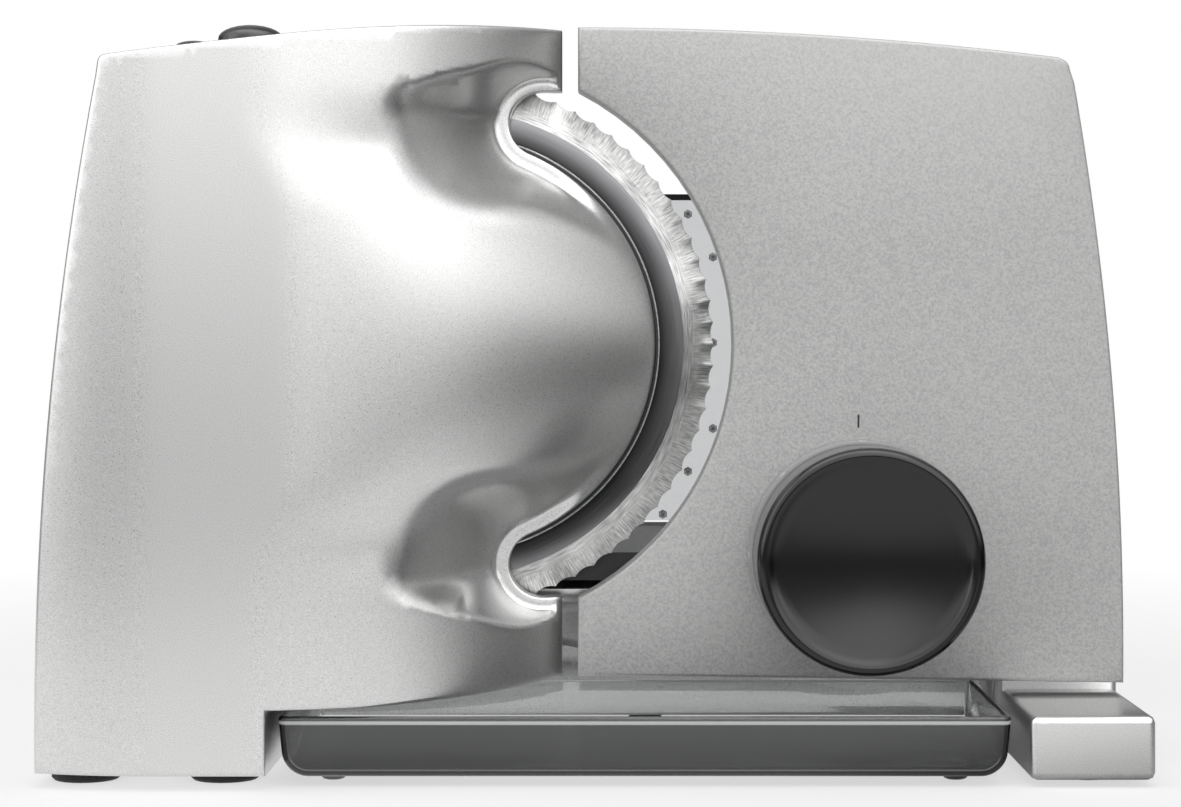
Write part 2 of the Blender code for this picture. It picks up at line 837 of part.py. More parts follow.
def rear_cover(finish):
    """The flat wall behind the motor, with a round recess for the blade."""
    inset = housing_wall + seat_gap
    left = [foot_height + inset, side_bow_z * 4, blade_z, housing_top(housing_left(tab_top_z)) - inset]
    outline = [(column_right_x - inset, foot_height + inset)]
    column_top_z = housing_skirt_z - housing_skirt_drop + inset
    outline.append((column_right_x - inset, column_top_z))
    outline.append((tab_x - inset, housing_skirt_z + inset))
    tab_edge = slot_end_centre(-1)[1] - slot_end_radius - inset
    outline.append((tab_x - inset, tab_edge))
    inner_x = blade_x + blade_radius * math.cos(slot_end_angle) - 2 * slot_end_radius
    outline.append((inner_x, tab_edge))
    tab_edge = slot_end_centre(1)[1] + slot_end_radius + inset
    outline.append((inner_x, tab_edge))
    outline.append((tab_x - inset, tab_edge))
    top_left_x = housing_left(left[-1]) + inset
    for share in (0, 0.25, 0.5, 0.75, 1):
        x = tab_x - inset + share * (top_left_x - tab_x + inset)
        outline.append((x, housing_top(x) - inset))
    outline += [(housing_left(z) + inset, z) for z in reversed(left[:-1])]
    cover = solid("rear_cover", plate(outline, cover_front_y, cover_face_y), finish)
    recess = rod(blade_radius + blade_recess_gap, cover_front_y - cut_overrun, 0, 2 * round_steps)
    carve(cover, solid("blade recess", recess, None, (blade_x, 0, blade_z), ALONG_Y))
    for x, z in cover_post_places + base_post_places:
        hole = rod(screw_hole_radius, cover_front_y - cut_overrun, 0)
        carve(cover, solid("screw hole", hole, None, (x, 0, z), ALONG_Y))
    return cover


def screw(name, finish, place, head_y):
    """A cheese-head screw along Y with its head towards the food side: head_y is the seat under its head."""
    low = head_y - screw_shank_length
    profile = (
        (screw_shank_radius, low),
        (screw_shank_radius, head_y),
        (screw_head_radius, head_y),
        (screw_head_radius, head_y + screw_head_height),
    )
    return solid(name, turned(profile, small_steps), finish, (place[0], 0, place[1]), ALONG_Y)


# Blade and its drive

def blade_disc(finish, carrier):
    """The toothed disc: flat on the food side, ground on the slice side."""
    steps = 2 * blade_teeth

    def edge(radius, tooth):
        radii = (radius, radius - tooth)
        turns = [2 * math.pi * step / steps for step in range(steps)]
        return [(radii[at % 2] * math.cos(turn), radii[at % 2] * math.sin(turn)) for at, turn in enumerate(turns)]

    bore = circle(blade_bore_radius, steps)
    ground = circle(blade_radius - blade_bevel_width, steps)
    layers = [
        (bore, blade_front_y),
        (ground, blade_front_y),
        (edge(blade_radius, blade_tooth_depth), blade_back_y - blade_edge_thickness),
        (edge(blade_radius, blade_tooth_depth), blade_back_y),
        (bore, blade_back_y),
    ]
    return solid("blade_disc", stack(layers, hollow=True), finish, (blade_x, 0, blade_z), ALONG_Y, carrier)


def involute(angle):
    return math.tan(angle) - angle


def gear_outline(teeth, module, addendum, dedendum, thickness_share, offset_share=0.0):
    """A gear's outline: each tooth has its two flanks at the root, the pitch circle and the tip."""
    pitch_radius = module * teeth / 2
    base_radius = pitch_radius * math.cos(pressure_angle)
    points = []
    for tooth in range(teeth):
        centre = 2 * math.pi * (tooth + offset_share) / teeth
        flank = []
        for radius in (pitch_radius - dedendum, pitch_radius, pitch_radius + addendum):
            slope = math.acos(min(base_radius / radius, 1))
            half = thickness_share * math.pi / teeth + involute(pressure_angle) - involute(slope)
            flank.append((radius, half))
        sides = [(radius, -half) for radius, half in flank] + [(radius, half) for radius, half in flank[::-1]]
        points += [(radius * math.cos(centre + turn), radius * math.sin(centre + turn)) for radius, turn in sides]
    return points


def rotated(points, turn):
    cosine, sine = math.cos(turn), math.sin(turn)
    return [(x * cosine - y * sine, x * sine + y * cosine) for x, y in points]


def blade_gear(finish, carrier):
    outline = gear_outline(
        blade_gear_teeth, blade_gear_module, gear_addendum, gear_dedendum, gear_thickness_share
    )
    mesh = stack([(outline, gear_front_y), (outline, gear_rear_y)])
    gear = solid("blade_gear", mesh, finish, (blade_x, 0, blade_z), ALONG_Y, carrier)
    bore = rod(hub_radius + seat_gap, gear_front_y - cut_overrun, gear_rear_y + cut_overrun, round_steps)
    carve(gear, solid("gear bore", bore, None, (blade_x, 0, blade_z), ALONG_Y))
    return gear


def blade_hub(finish, carrier):
    """The bush that the gear and the disc share, running on the fixed axle."""
    bore = blade_axle_radius + seat_gap
    flange_y = hub_rear_y - hub_flange_thickness
    profile = (
        (bore, gear_front_y),
        (hub_radius, gear_front_y),
        (hub_radius, flange_y),
        (hub_flange_radius, flange_y),
        (hub_flange_radius, hub_rear_y),
        (bore, hub_rear_y),
    )
    mesh = turned(profile, round_steps, hollow=True)
    return solid("blade_hub", mesh, finish, (blade_x, 0, blade_z), ALONG_Y, carrier)


def blade_axle(finish):
    head_rear_y = frame_front_y - seat_gap
    profile = (
        (blade_axle_head_radius, head_rear_y - blade_axle_head_height),
        (blade_axle_head_radius, head_rear_y),
        (blade_axle_radius, head_rear_y),
        (blade_axle_radius, blade_front_y - blade_axle_end_gap),
    )
    return solid("blade_axle", turned(profile), finish, (blade_x, 0, blade_z), ALONG_Y)


def blade_lock(finish, carrier):
    """The turn-to-release cap in the middle of the blade, with a grip across it."""
    stem_radius = blade_bore_radius - seat_gap
    seat_y = blade_back_y + seat_gap
    face_y = seat_y + lock_height
    round_radius = lock_radius - lock_grip_depth
    profile = (
        (stem_radius, blade_front_y + seat_gap),
        (stem_radius, seat_y),
        (lock_radius, seat_y),
        (lock_radius, face_y - lock_grip_depth),
        (round_radius, face_y),
    )
    cap = solid("blade_lock", turned(profile), finish, (blade_x, 0, blade_z), ALONG_Y, carrier)
    for side in (-1, 1):
        near = lock_grip_width / 2
        far = near + lock_grip_width
        low = (-lock_grip_length / 2, side * near if side > 0 else -far, face_y - lock_grip_depth)
        high = (lock_grip_length / 2, far if side > 0 else -near, face_y + cut_overrun)
        hollow = solid("lock hollow", block(low, high), None, (blade_x, 0, blade_z), ALONG_Y)
        carve(cap, hollow)
    return cap


def worm_wheel(finish, carrier):
    """The worm's wheel: its teeth lean to follow the worm's thread."""
    outline = gear_outline(wheel_teeth, wheel_module, wheel_addendum, wheel_dedendum, wheel_thickness_share)
    slope = worm_lead / (2 * math.pi * worm_pitch_radius)
    lean = slope * wheel_width / 2 / wheel_radius
    layers = [
        (rotated(outline, -lean), wheel_front_y),
        (outline, wheel_middle_y),
        (rotated(outline, lean), wheel_rear_y),
    ]
    wheel = solid("worm_wheel", stack(layers), finish, (pinion_x, 0, blade_z), ALONG_Y, carrier)
    bore = rod(pinion_shaft_radius + seat_gap, wheel_front_y - cut_overrun, wheel_rear_y + cut_overrun)
    carve(wheel, solid("wheel bore", bore, None, (pinion_x, 0, blade_z), ALONG_Y))
    return wheel


def pinion_shaft(finish, carrier):
    """Steel shaft with the pinion cut on its rear end."""
    outline = gear_outline(
        pinion_teeth, blade_gear_module, gear_addendum, gear_dedendum, gear_thickness_share, 0.5
    )
    teeth = stack([(outline, gear_front_y), (outline, gear_rear_y)])
    shaft = solid("pinion_shaft", teeth, finish, (pinion_x, 0, blade_z), ALONG_Y, carrier)
    front_end_y = wheel_front_y - pinion_shaft_radius
    core = rod(pinion_shaft_radius, front_end_y, gear_rear_y - gear_width / 2)
    fuse(shaft, solid("shaft core", core, finish, (pinion_x, 0, blade_z), ALONG_Y))
    return shaft


def pinion_bush(finish):
    mesh = tube(pinion_shaft_radius + seat_gap, pinion_bush_radius, boss_front_y + seat_gap, frame_rear_y)
    return solid("pinion_bush", mesh, finish, (pinion_x, 0, blade_z), ALONG_Y)


def motor_lug():
    """The lug over the motor: round in front, square where it meets the frame."""
    lug_half = motor_radius + lug_margin
    outline = [(worm_x + x, worm_y + y) for x, y in arc((0, 0), lug_half, -math.pi, 0, arc_steps)]
    outline += [(worm_x + lug_half, frame_front_y + fuse_overlap), (worm_x - lug_half, frame_front_y + fuse_overlap)]
    return stack([(outline, lug_top_z - frame_lug_thickness), (outline, lug_top_z)])


def gear_frame(finish):
    """The cast frame: a flat plate on three posts, with a boss for the pinion and two lugs for the motor."""
    discs = [(place, frame_arm_radius) for place in frame_post_places]
    discs.append(((blade_x, blade_z), frame_axle_disc_radius))
    points = []
    for (x, z), radius in discs:
        points += [(x + across, z + up) for across, up in circle(radius, small_steps)]
    frame = solid("gear_frame", plate(hull(points), frame_front_y, frame_rear_y), finish)
    place = (pinion_x, 0, blade_z)
    fuse(frame, solid("boss", rod(pinion_boss_radius, boss_front_y, frame_front_y + fuse_overlap), finish, place, ALONG_Y))
    fuse(frame, solid("motor lug", motor_lug(), finish))
    low = (worm_x - bearing_lug_half_width, worm_y - bearing_lug_half_width, bearing_bottom_z)
    high_z = bearing_bottom_z + bearing_height - 2 * seat_gap
    high = (worm_x + bearing_lug_half_width, frame_front_y + fuse_overlap, high_z)
    fuse(frame, solid("bearing lug", block(low, high), finish))
    cuts = [
        rod(pinion_bush_radius + seat_gap, boss_front_y - cut_overrun, frame_rear_y + cut_overrun, round_steps),
    ]
    carve(frame, solid("bush bore", cuts[0], None, place, ALONG_Y))
    axle_hole = rod(blade_axle_radius + seat_gap, frame_front_y - cut_overrun, frame_rear_y + cut_overrun)
    carve(frame, solid("axle hole", axle_hole, None, (blade_x, 0, blade_z), ALONG_Y))
    hole = rod(bearing_radius + seat_gap, bearing_bottom_z - cut_overrun, high_z + cut_overrun)
    carve(frame, solid("bearing hole", hole, None, (worm_x, worm_y, 0)))
    hole = rod(worm_pitch_radius, lug_top_z - frame_lug_thickness - cut_overrun, lug_top_z + cut_overrun)
    carve(frame, solid("shaft hole", hole, None, (worm_x, worm_y, 0)))
    for x, z in frame_post_places:
        hole = rod(screw_hole_radius, frame_front_y - cut_overrun, frame_rear_y + cut_overrun)
        carve(frame, solid("screw hole", hole, None, (x, 0, z), ALONG_Y))
    return frame


def worm_bearing(finish):
    mesh = tube(worm_shaft_radius + seat_gap, bearing_radius, bearing_bottom_z, bearing_bottom_z + bearing_height)
    return solid("worm_bearing", mesh, finish, (worm_x, worm_y, 0))


def motor_can(finish):
    """The motor's drawn steel can, open below."""
    roof_z = motor_top_z - motor_wall
    inner = motor_radius - motor_wall
    profile = (
        (motor_radius, motor_bottom_z),
        (motor_radius, motor_top_z),
        (motor_shaft_hole_radius, motor_top_z),
        (motor_shaft_hole_radius, roof_z),
        (inner, roof_z),
        (inner, motor_bottom_z),
    )
    return solid("motor_can", turned(profile, round_steps, hollow=True), finish, (worm_x, worm_y, 0))


def motor_end_cap(finish):
    top_z = motor_bottom_z - seat_gap
    spigot_radius = motor_radius - motor_wall - seat_gap
    profile = (
        (worm_shaft_radius + seat_gap, top_z - motor_cap_thickness),
        (motor_radius, top_z - motor_cap_thickness),
        (motor_radius, top_z),
        (spigot_radius, top_z),
        (spigot_radius, top_z + motor_wall),
        (worm_shaft_radius + seat_gap, top_z + motor_wall),
    )
    return solid("motor_end_cap", turned(profile, round_steps, hollow=True), finish, (worm_x, worm_y, 0))


def magnet(name, finish, side):
    """One curved magnet inside the can: side is 1 on the right and -1 on the left."""
    outer = motor_radius - motor_wall - seat_gap
    inner = outer - magnet_thickness
    middle = 0 if side > 0 else math.pi
    steps = small_steps // 2
    outline = arc((0, 0), outer, middle - magnet_span / 2, middle + magnet_span / 2, steps)
    outline += arc((0, 0), inner, middle + magnet_span / 2, middle - magnet_span / 2, steps)
    low_z = motor_bottom_z + magnet_lift
    mesh = stack([(outline, low_z), (outline, low_z + magnet_height)])
    return solid(name, mesh, finish, (worm_x, worm_y, 0))


def armature_low_z():
    return motor_bottom_z + magnet_lift + (magnet_height - armature_height) / 2


def armature(finish, carrier):
    """Laminated core with its winding slots."""
    points = []
    for slot in range(armature_slots):
        turn = 2 * math.pi * slot / armature_slots
        half_slot = math.radians(9)
        half_span = math.pi / armature_slots
        for share in (0, 0.5, 1):
            angle = turn - half_span + half_slot + share * 2 * (half_span - half_slot)
            points.append((armature_radius * math.cos(angle), armature_radius * math.sin(angle)))
        for angle in (turn + half_span - half_slot, turn + half_span + half_slot):
            inner = armature_radius - armature_slot_depth
            points.append((inner * math.cos(angle), inner * math.sin(angle)))
    low_z = armature_low_z()
    mesh = stack([(points, low_z), (points, low_z + armature_height)])
    core = solid("armature", mesh, finish, (worm_x, worm_y, 0), (0, 0, 0), carrier)
    bore = rod(worm_shaft_radius + seat_gap, low_z - cut_overrun, low_z + armature_height + cut_overrun)
    carve(core, solid("armature bore", bore, None, (worm_x, worm_y, 0)))
    return core


def commutator(finish, carrier):
    top_z = armature_low_z() - commutator_gap
    mesh = tube(worm_shaft_radius + seat_gap, commutator_radius, top_z - commutator_height, top_z, small_steps)
    return solid("commutator", mesh, finish, (worm_x, worm_y, 0), (0, 0, 0), carrier)


def cooling_fan(finish, carrier):
    """Small radial fan above the armature."""
    points = []
    for blade in range(fan_blades):
        turn = 2 * math.pi * blade / fan_blades
        half = math.radians(7)
        for radius, angle in (
            (fan_hub_radius, turn - 2 * half),
            (fan_radius, turn - half),
            (fan_radius, turn + half),
            (fan_hub_radius, turn + 2 * half),
        ):
            points.append((radius * math.cos(angle), radius * math.sin(angle)))
    low_z = armature_low_z() + armature_height + commutator_gap
    mesh = stack([(points, low_z), (points, low_z + fan_height)])
    fan = solid("cooling_fan", mesh, finish, (worm_x, worm_y, 0), (0, 0, 0), carrier)
    bore = rod(worm_shaft_radius + seat_gap, low_z - cut_overrun, low_z + fan_height + cut_overrun)
    carve(fan, solid("fan bore", bore, None, (worm_x, worm_y, 0)))
    return fan


def thread_radius(turn, height):
    """Radius of the two-start thread at this angle and height above the wheel's axis."""
    root = worm_pitch_radius - wheel_dedendum
    crest = worm_pitch_radius + wheel_addendum
    phase_share = ((height - worm_lead * turn / (2 * math.pi)) / worm_axial_pitch - 0.5) % 1
    off = min(phase_share, 1 - phase_share) * worm_axial_pitch
    half_pitch_width = wheel_thickness_share * worm_axial_pitch / 2
    crest_half = half_pitch_width - wheel_addendum * math.tan(pressure_angle)
    root_half = half_pitch_width + wheel_dedendum * math.tan(pressure_angle)
    share = min(max((root_half - off) / (root_half - crest_half), 0.0), 1.0)
    return root + share * (crest - root)


def motor_shaft(finish, carrier):
    """One steel shaft from the motor's end cap to the bearing lug, with the worm rolled on it."""
    layers = []
    bottom_z = motor_bottom_z - motor_cap_thickness
    top_z = bearing_bottom_z + bearing_height + shaft_end_length
    plain = circle(worm_shaft_radius, worm_turn_steps)
    layers.append((plain, bottom_z))
    low_z = blade_z - worm_length / 2
    layers.append((plain, low_z))
    for row in range(worm_rows + 1):
        height = -worm_length / 2 + worm_length * row / worm_rows
        points = []
        for step in range(worm_turn_steps):
            turn = 2 * math.pi * step / worm_turn_steps
            radius = thread_radius(turn, height)
            points.append((radius * math.cos(turn), radius * math.sin(turn)))
        layers.append((points, blade_z + height))
    layers.append((plain, blade_z + worm_length / 2))
    layers.append((plain, top_z))
    return solid("motor_shaft", stack(layers), finish, (worm_x, worm_y, 0), (0, 0, 0), carrier)


# Switch, buttons and springs

def switch_top_z():
    """The switch's top meets the roof of the housing at its lower, left end."""
    return housing_top(switch_left_x) - housing_wall - seat_gap


def well_bottom_z():
    return switch_top_z() - switch_height + well_floor


def switch_body(finish):
    low = (switch_left_x, button_y - switch_half_depth, switch_top_z() - switch_height)
    high = (switch_right_x, button_y + switch_half_depth, switch_top_z())
    body = solid("switch_body", block(low, high), finish)
    floor_z = well_bottom_z()
    high_z = switch_top_z() + cut_overrun
    carve(body, button_cut(power_button_x, power_button_half_width, power_button_half_depth, floor_z, high_z))
    carve(body, button_cut(lock_button_x, lock_button_half_width, lock_button_half_depth, floor_z, high_z))
    return body


def button(name, finish, x, half_width_x, half_depth_y, rise, carrier):
    """An oval button with a slightly domed top."""
    top_z = housing_top(x) + rise
    squash = half_depth_y / half_width_x
    inner = half_width_x - button_dome
    profile = (
        (half_width_x, top_z - button_length),
        (half_width_x, top_z - button_dome),
        (inner, top_z),
    )
    return solid(name, turned(profile, round_steps, False, squash), finish, (x, button_y, 0), (0, 0, 0), carrier)


def return_spring(name, finish, x, rise, carrier):
    """A closed coil of wire from the well's floor to the button's foot."""
    bottom = well_bottom_z() + spring_wire_radius + seat_gap
    top = housing_top(x) + rise - button_length - spring_wire_radius - seat_gap
    count = spring_turns * spring_steps
    mesh = bmesh.new()
    rings = []
    for step in range(count + 1):
        turn = 2 * math.pi * step / spring_steps
        out = Vector((math.cos(turn), math.sin(turn), 0))
        middle = out * spring_radius + Vector((0, 0, bottom + (top - bottom) * step / count))
        ring = []
        for side in range(spring_sides):
            around = 2 * math.pi * side / spring_sides
            offset = out * math.cos(around) + Vector((0, 0, math.sin(around)))
            ring.append(mesh.verts.new(middle + offset * spring_wire_radius))
        rings.append(ring)
    for first, second in zip(rings, rings[1:]):
        bridge(mesh, first, second)
    mesh.faces.new(rings[0])
    mesh.faces.new(rings[-1])
    bmesh.ops.recalc_face_normals(mesh, faces=mesh.faces)
    return solid(name, mesh, finish, (x, button_y, 0), (0, 0, 0), carrier)


# Base

def base_casting(finish):
    """The low casting under the carriage, the bridge over the tray's rear and the foot block."""
    rim_z = foot_height
    body = solid(
        "base_casting",
        block((base_left_x, base_front_y, rim_z), (half_width, base_rear_y, deck_top_z), edge_chamfer, 2),
        finish,
    )
    roof_z = deck_top_z - deck_thickness
    under_z = rim_z - cut_overrun
    rear = base_rear_y - base_wall
    front = base_front_y + base_wall
    bridge_rear_y = bridge_front_y + bridge_thickness
    carve(
        body,
        solid("left hollow", block((base_left_x + base_wall, front, under_z), (bay_left_x - base_wall, rear, roof_z))),
        solid("middle hollow", block((bay_left_x, bridge_rear_y, under_z), (bay_right_x, rear, roof_z))),
        solid("right hollow", block((bay_right_x + base_wall, front, under_z), (half_width - base_wall, rear, roof_z))),
        solid(
            "tray bay",
            block(
                (bay_left_x, base_front_y - cut_overrun, under_z),
                (bay_right_x, bridge_front_y, deck_top_z - deck_lip_height),
            ),
        ),
        solid(
            "bridge clearance",
            block(
                (bay_left_x, bridge_front_y - cut_overrun, under_z),
                (bay_right_x, bridge_rear_y + cut_overrun, bridge_clearance_z),
            ),
        ),
    )
    pad_front_y = cover_face_y + seat_gap
    pad_low = (base_left_x, pad_front_y, rim_z)
    pad_high = (bay_left_x - base_wall + fuse_overlap, base_front_y + fuse_overlap, pad_top_z)
    fuse(body, solid("housing pad", block(pad_low, pad_high), finish))
    block_low = (foot_block_left_x, foot_block_front_y, foot_block_bottom_z)
    block_high = (half_width, base_front_y + base_wall, foot_block_top_z)
    fuse(body, solid("foot block", block(block_low, block_high, foot_block_chamfer), finish))
    boss_half = bridge_foot_radius + foot_bevel
    boss_low = (bridge_foot_x - boss_half, bridge_rear_y - fuse_overlap, bridge_clearance_z)
    boss_high = (bridge_foot_x + boss_half, bridge_front_y + 2 * boss_half, roof_z + fuse_overlap)
    fuse(body, solid("bridge boss", block(boss_low, boss_high), finish))
    for x, y in base_foot_places:
        half = corner_boss_side / 2
        corner = block((x - half, y - half, rim_z), (x + half, y + half, roof_z + fuse_overlap))
        fuse(body, solid("corner boss", corner, finish))
    holes = [
        ((x, z), screw_hole_radius) for x, z in base_post_places
    ] + [((x, rod_z), bush_radius + seat_gap) for x in rod_places_x] + [((knob_x, cam_post_z), cam_post_radius + seat_gap)]
    reach = {
        screw_hole_radius: (pad_front_y - cut_overrun, front + cut_overrun),
        bush_radius + seat_gap: (bridge_front_y - cut_overrun, bridge_rear_y + cut_overrun),
        cam_post_radius + seat_gap: (base_front_y - cut_overrun, base_front_y + cam_post_seat_length),
    }
    for (x, z), radius in holes:
        low_y, high_y = reach[radius]
        carve(body, solid("hole", rod(radius, low_y, high_y), None, (x, 0, z), ALONG_Y))
    hole = rod(gland_radius + seat_gap, rear - cut_overrun, base_rear_y + cut_overrun)
    carve(body, solid("gland hole", hole, None, (gland_x, 0, gland_z), ALONG_Y))
    return body


def foot(name, finish, x, y, radius, top_z):
    """A rubber foot with a rounded lower edge."""
    profile = (
        (radius - foot_bevel, 0),
        (radius, foot_bevel),
        (radius, top_z - seat_gap),
    )
    return solid(name, turned(profile), finish, (x, y, 0))


def cord_gland(finish):
    """The rubber gland in the rear wall that the mains lead comes out of."""
    flange_y = base_rear_y + seat_gap
    nose_y = flange_y + gland_flange_thickness
    profile = (
        (gland_bore_radius, base_rear_y - base_wall),
        (gland_radius, base_rear_y - base_wall),
        (gland_radius, flange_y),
        (gland_flange_radius, flange_y),
        (gland_flange_radius, nose_y),
        (gland_radius, nose_y),
        (gland_radius - foot_bevel, nose_y + gland_nose_length),
        (gland_bore_radius, nose_y + gland_nose_length),
    )
    return solid("cord_gland", turned(profile, small_steps, hollow=True), finish, (gland_x, 0, gland_z), ALONG_Y)


# Stop plate

def plate_right(z):
    return plate_right_x - (z - plate_side_bow_z) ** 2 / (2 * plate_side_bow_radius)


def plate_top(x):
    return plate_top_z - (x - plate_left_x) ** 2 / (2 * plate_top_bow_radius)


def plate_outline(inset=0.0):
    """The stop plate's outline, anticlockwise from its lower left corner, drawn in by the inset."""
    left = plate_left_x + inset
    radius = plate_arc_radius + inset
    opening = math.acos((left - blade_x) / radius)
    corner_z = plate_top(plate_right(plate_top_z)) - inset
    outline = [(left, plate_bottom_left_z + inset)]
    outline.append((plate_right(plate_bottom_right_z) - inset, plate_bottom_right_z + inset))
    for share in (0.25, 0.5, 0.75):
        z = plate_bottom_right_z + share * (corner_z - plate_bottom_right_z)
        outline.append((plate_right(z) - inset, z))
    corner_x = plate_right(corner_z) - inset
    outline.append((corner_x, corner_z - plate_corner_radius))
    outline.append((corner_x - plate_corner_radius, corner_z))
    for share in (0.75, 0.5, 0.25, 0):
        x = left + share * (corner_x - left)
        outline.append((x, plate_top(x) - inset))
    sweep = arc((blade_x, blade_z), radius, opening, -opening, 2 * arc_steps)
    return outline + sweep


def cup(outline, chamfered, inner, front, chamfer, wall, rim):
    """A dish with a flat face parallel to the blade, a chamfer, and walls back to the rim."""
    mesh = bmesh.new()
    levels = (
        (chamfered, front),
        (outline, front + chamfer),
        (outline, rim),
        (inner, rim),
        (inner, front + wall),
    )
    rings = [[mesh.verts.new((x, height, z)) for x, z in points] for points, height in levels]
    for first, second in zip(rings, rings[1:]):
        bridge(mesh, first, second)
    mesh.faces.new(rings[0])
    mesh.faces.new(rings[-1])
    bmesh.ops.recalc_face_normals(mesh, faces=mesh.faces)
    return mesh


def stop_plate(finish, carrier):
    outlines = (plate_outline(), plate_outline(plate_chamfer), plate_outline(plate_wall))
    mesh = cup(*outlines, plate_front_y, plate_chamfer, plate_wall, plate_rim_y)
    body = solid("stop_plate", mesh, finish)
    inner_y = plate_front_y + plate_wall / 2
    boss_rear_y = plate_rim_y - seat_gap
    for x in rod_places_x:
        fuse(body, solid("rod boss", rod(rod_boss_radius, inner_y, boss_rear_y), finish, (x, 0, rod_z), ALONG_Y))
        hole = rod(rod_radius + seat_gap, plate_front_y + plate_wall, 0)
        carve(body, solid("rod hole", hole, None, (x, 0, rod_z), ALONG_Y))
    place = (knob_x, 0, knob_z)
    fuse(body, solid("knob boss", rod(knob_boss_radius, inner_y, boss_rear_y), finish, place, ALONG_Y))
    hole = rod(knob_axle_radius + seat_gap, plate_front_y - cut_overrun, 0)
    carve(body, solid("axle hole", hole, None, place, ALONG_Y))
    hole = rod(cam_post_hole_radius, plate_front_y - cut_overrun, 0)
    carve(body, solid("cam hole", hole, None, (knob_x, 0, cam_post_z), ALONG_Y))
    body.parent = carrier
    body.location = -carrier.location
    return body


def stop_plate_facing(finish, carrier):
    """The smooth sheet that the food slides along."""
    sheet = solid("stop_plate_facing", plate(plate_outline(), facing_front_y, plate_rear_y), finish)
    for x in rod_places_x:
        hole = rod(rod_radius + seat_gap, facing_front_y - cut_overrun, 0)
        carve(sheet, solid("rod hole", hole, None, (x, 0, rod_z), ALONG_Y))
    hole = rod(cam_post_hole_radius, facing_front_y - cut_overrun, 0)
    carve(sheet, solid("cam hole", hole, None, (knob_x, 0, cam_post_z), ALONG_Y))
    sheet.parent = carrier
    sheet.location = -carrier.location
    return sheet


def guide_rod(name, finish, x, carrier):
    low = plate_front_y + plate_wall + seat_gap
    return solid(name, rod(rod_radius, low, rod_rear_y), finish, (x, 0, rod_z), ALONG_Y, carrier)


def guide_bush(name, finish, x):
    """A flanged bush in the bridge wall, which the guide rod runs in."""
    bore = rod_radius + seat_gap
    flange_rear_y = bridge_front_y - seat_gap
    profile = (
        (bore, flange_rear_y - bush_flange_thickness),
        (bush_flange_radius, flange_rear_y - bush_flange_thickness),
        (bush_flange_radius, flange_rear_y),
        (bush_radius, flange_rear_y),
        (bush_radius, flange_rear_y + bush_length),
        (bore, flange_rear_y + bush_length),
    )
    return solid(name, turned(profile, small_steps, hollow=True), finish, (x, 0, rod_z), ALONG_Y)


# Thickness knob

def knob_axle(finish, carrier):
    low = knob_front_y + knob_dish + knob_wall + cam_clearance
    mesh = rod(knob_axle_radius, low, plate_rim_y, round_steps)
    return solid("knob_axle", mesh, finish, (knob_x, 0, knob_z), ALONG_Y, carrier)


def knob_inner_y():
    """The flat inner face of the knob's front wall."""
    return knob_front_y + knob_dish + knob_wall


def thickness_knob(finish, carrier):
    """The dished cap, its side wall and the hub that turns on the axle."""
    rear_y = plate_front_y - knob_skirt_length - ring_gap - seat_gap
    inner_y = knob_inner_y()
    inner_radius = knob_radius - knob_wall
    bore = knob_axle_radius + knob_hub_clearance
    hub_rear_y = plate_front_y - ring_gap
    outer = [(0.0, knob_front_y + knob_dish)]
    outer += [(knob_rim_radius * share, knob_front_y + knob_dish * (1 - share**2)) for share in (0.35, 0.65, 0.85)]
    outer.append((knob_rim_radius, knob_front_y))
    outer.append((knob_radius - knob_rim_round / 3, knob_front_y + knob_rim_round / 2))
    outer.append((knob_radius, knob_front_y + knob_rim_round))
    outer.append((knob_radius, rear_y))
    inner = [(inner_radius, rear_y), (inner_radius, inner_y), (knob_hub_radius, inner_y)]
    inner += [(knob_hub_radius, hub_rear_y), (bore, hub_rear_y), (bore, inner_y)]
    mesh = bmesh.new()
    rings = []
    for radius, height in outer[1:] + inner:
        rings.append([mesh.verts.new((x, y, height)) for x, y in circle(radius, round_steps)])
    for first, second in zip(rings, rings[1:]):
        bridge(mesh, first, second)
    tip = mesh.verts.new((0, 0, outer[0][1]))
    for at, corner in enumerate(rings[0]):
        mesh.faces.new((corner, rings[0][(at + 1) % round_steps], tip))
    mesh.faces.new(rings[-1])
    bmesh.ops.recalc_face_normals(mesh, faces=mesh.faces)
    return solid("thickness_knob", mesh, finish, (knob_x, 0, knob_z), ALONG_Y, carrier)


def scale_ring(finish, carrier):
    """The ring with the thickness scale, behind the knob."""
    front = plate_front_y - knob_skirt_length - ring_gap
    mesh = tube(scale_ring_bore_radius, scale_ring_radius, front, plate_front_y - ring_gap)
    return solid("scale_ring", mesh, finish, (knob_x, 0, knob_z), ALONG_Y, carrier)


def cam_low_y():
    return plate_front_y - cam_low_depth


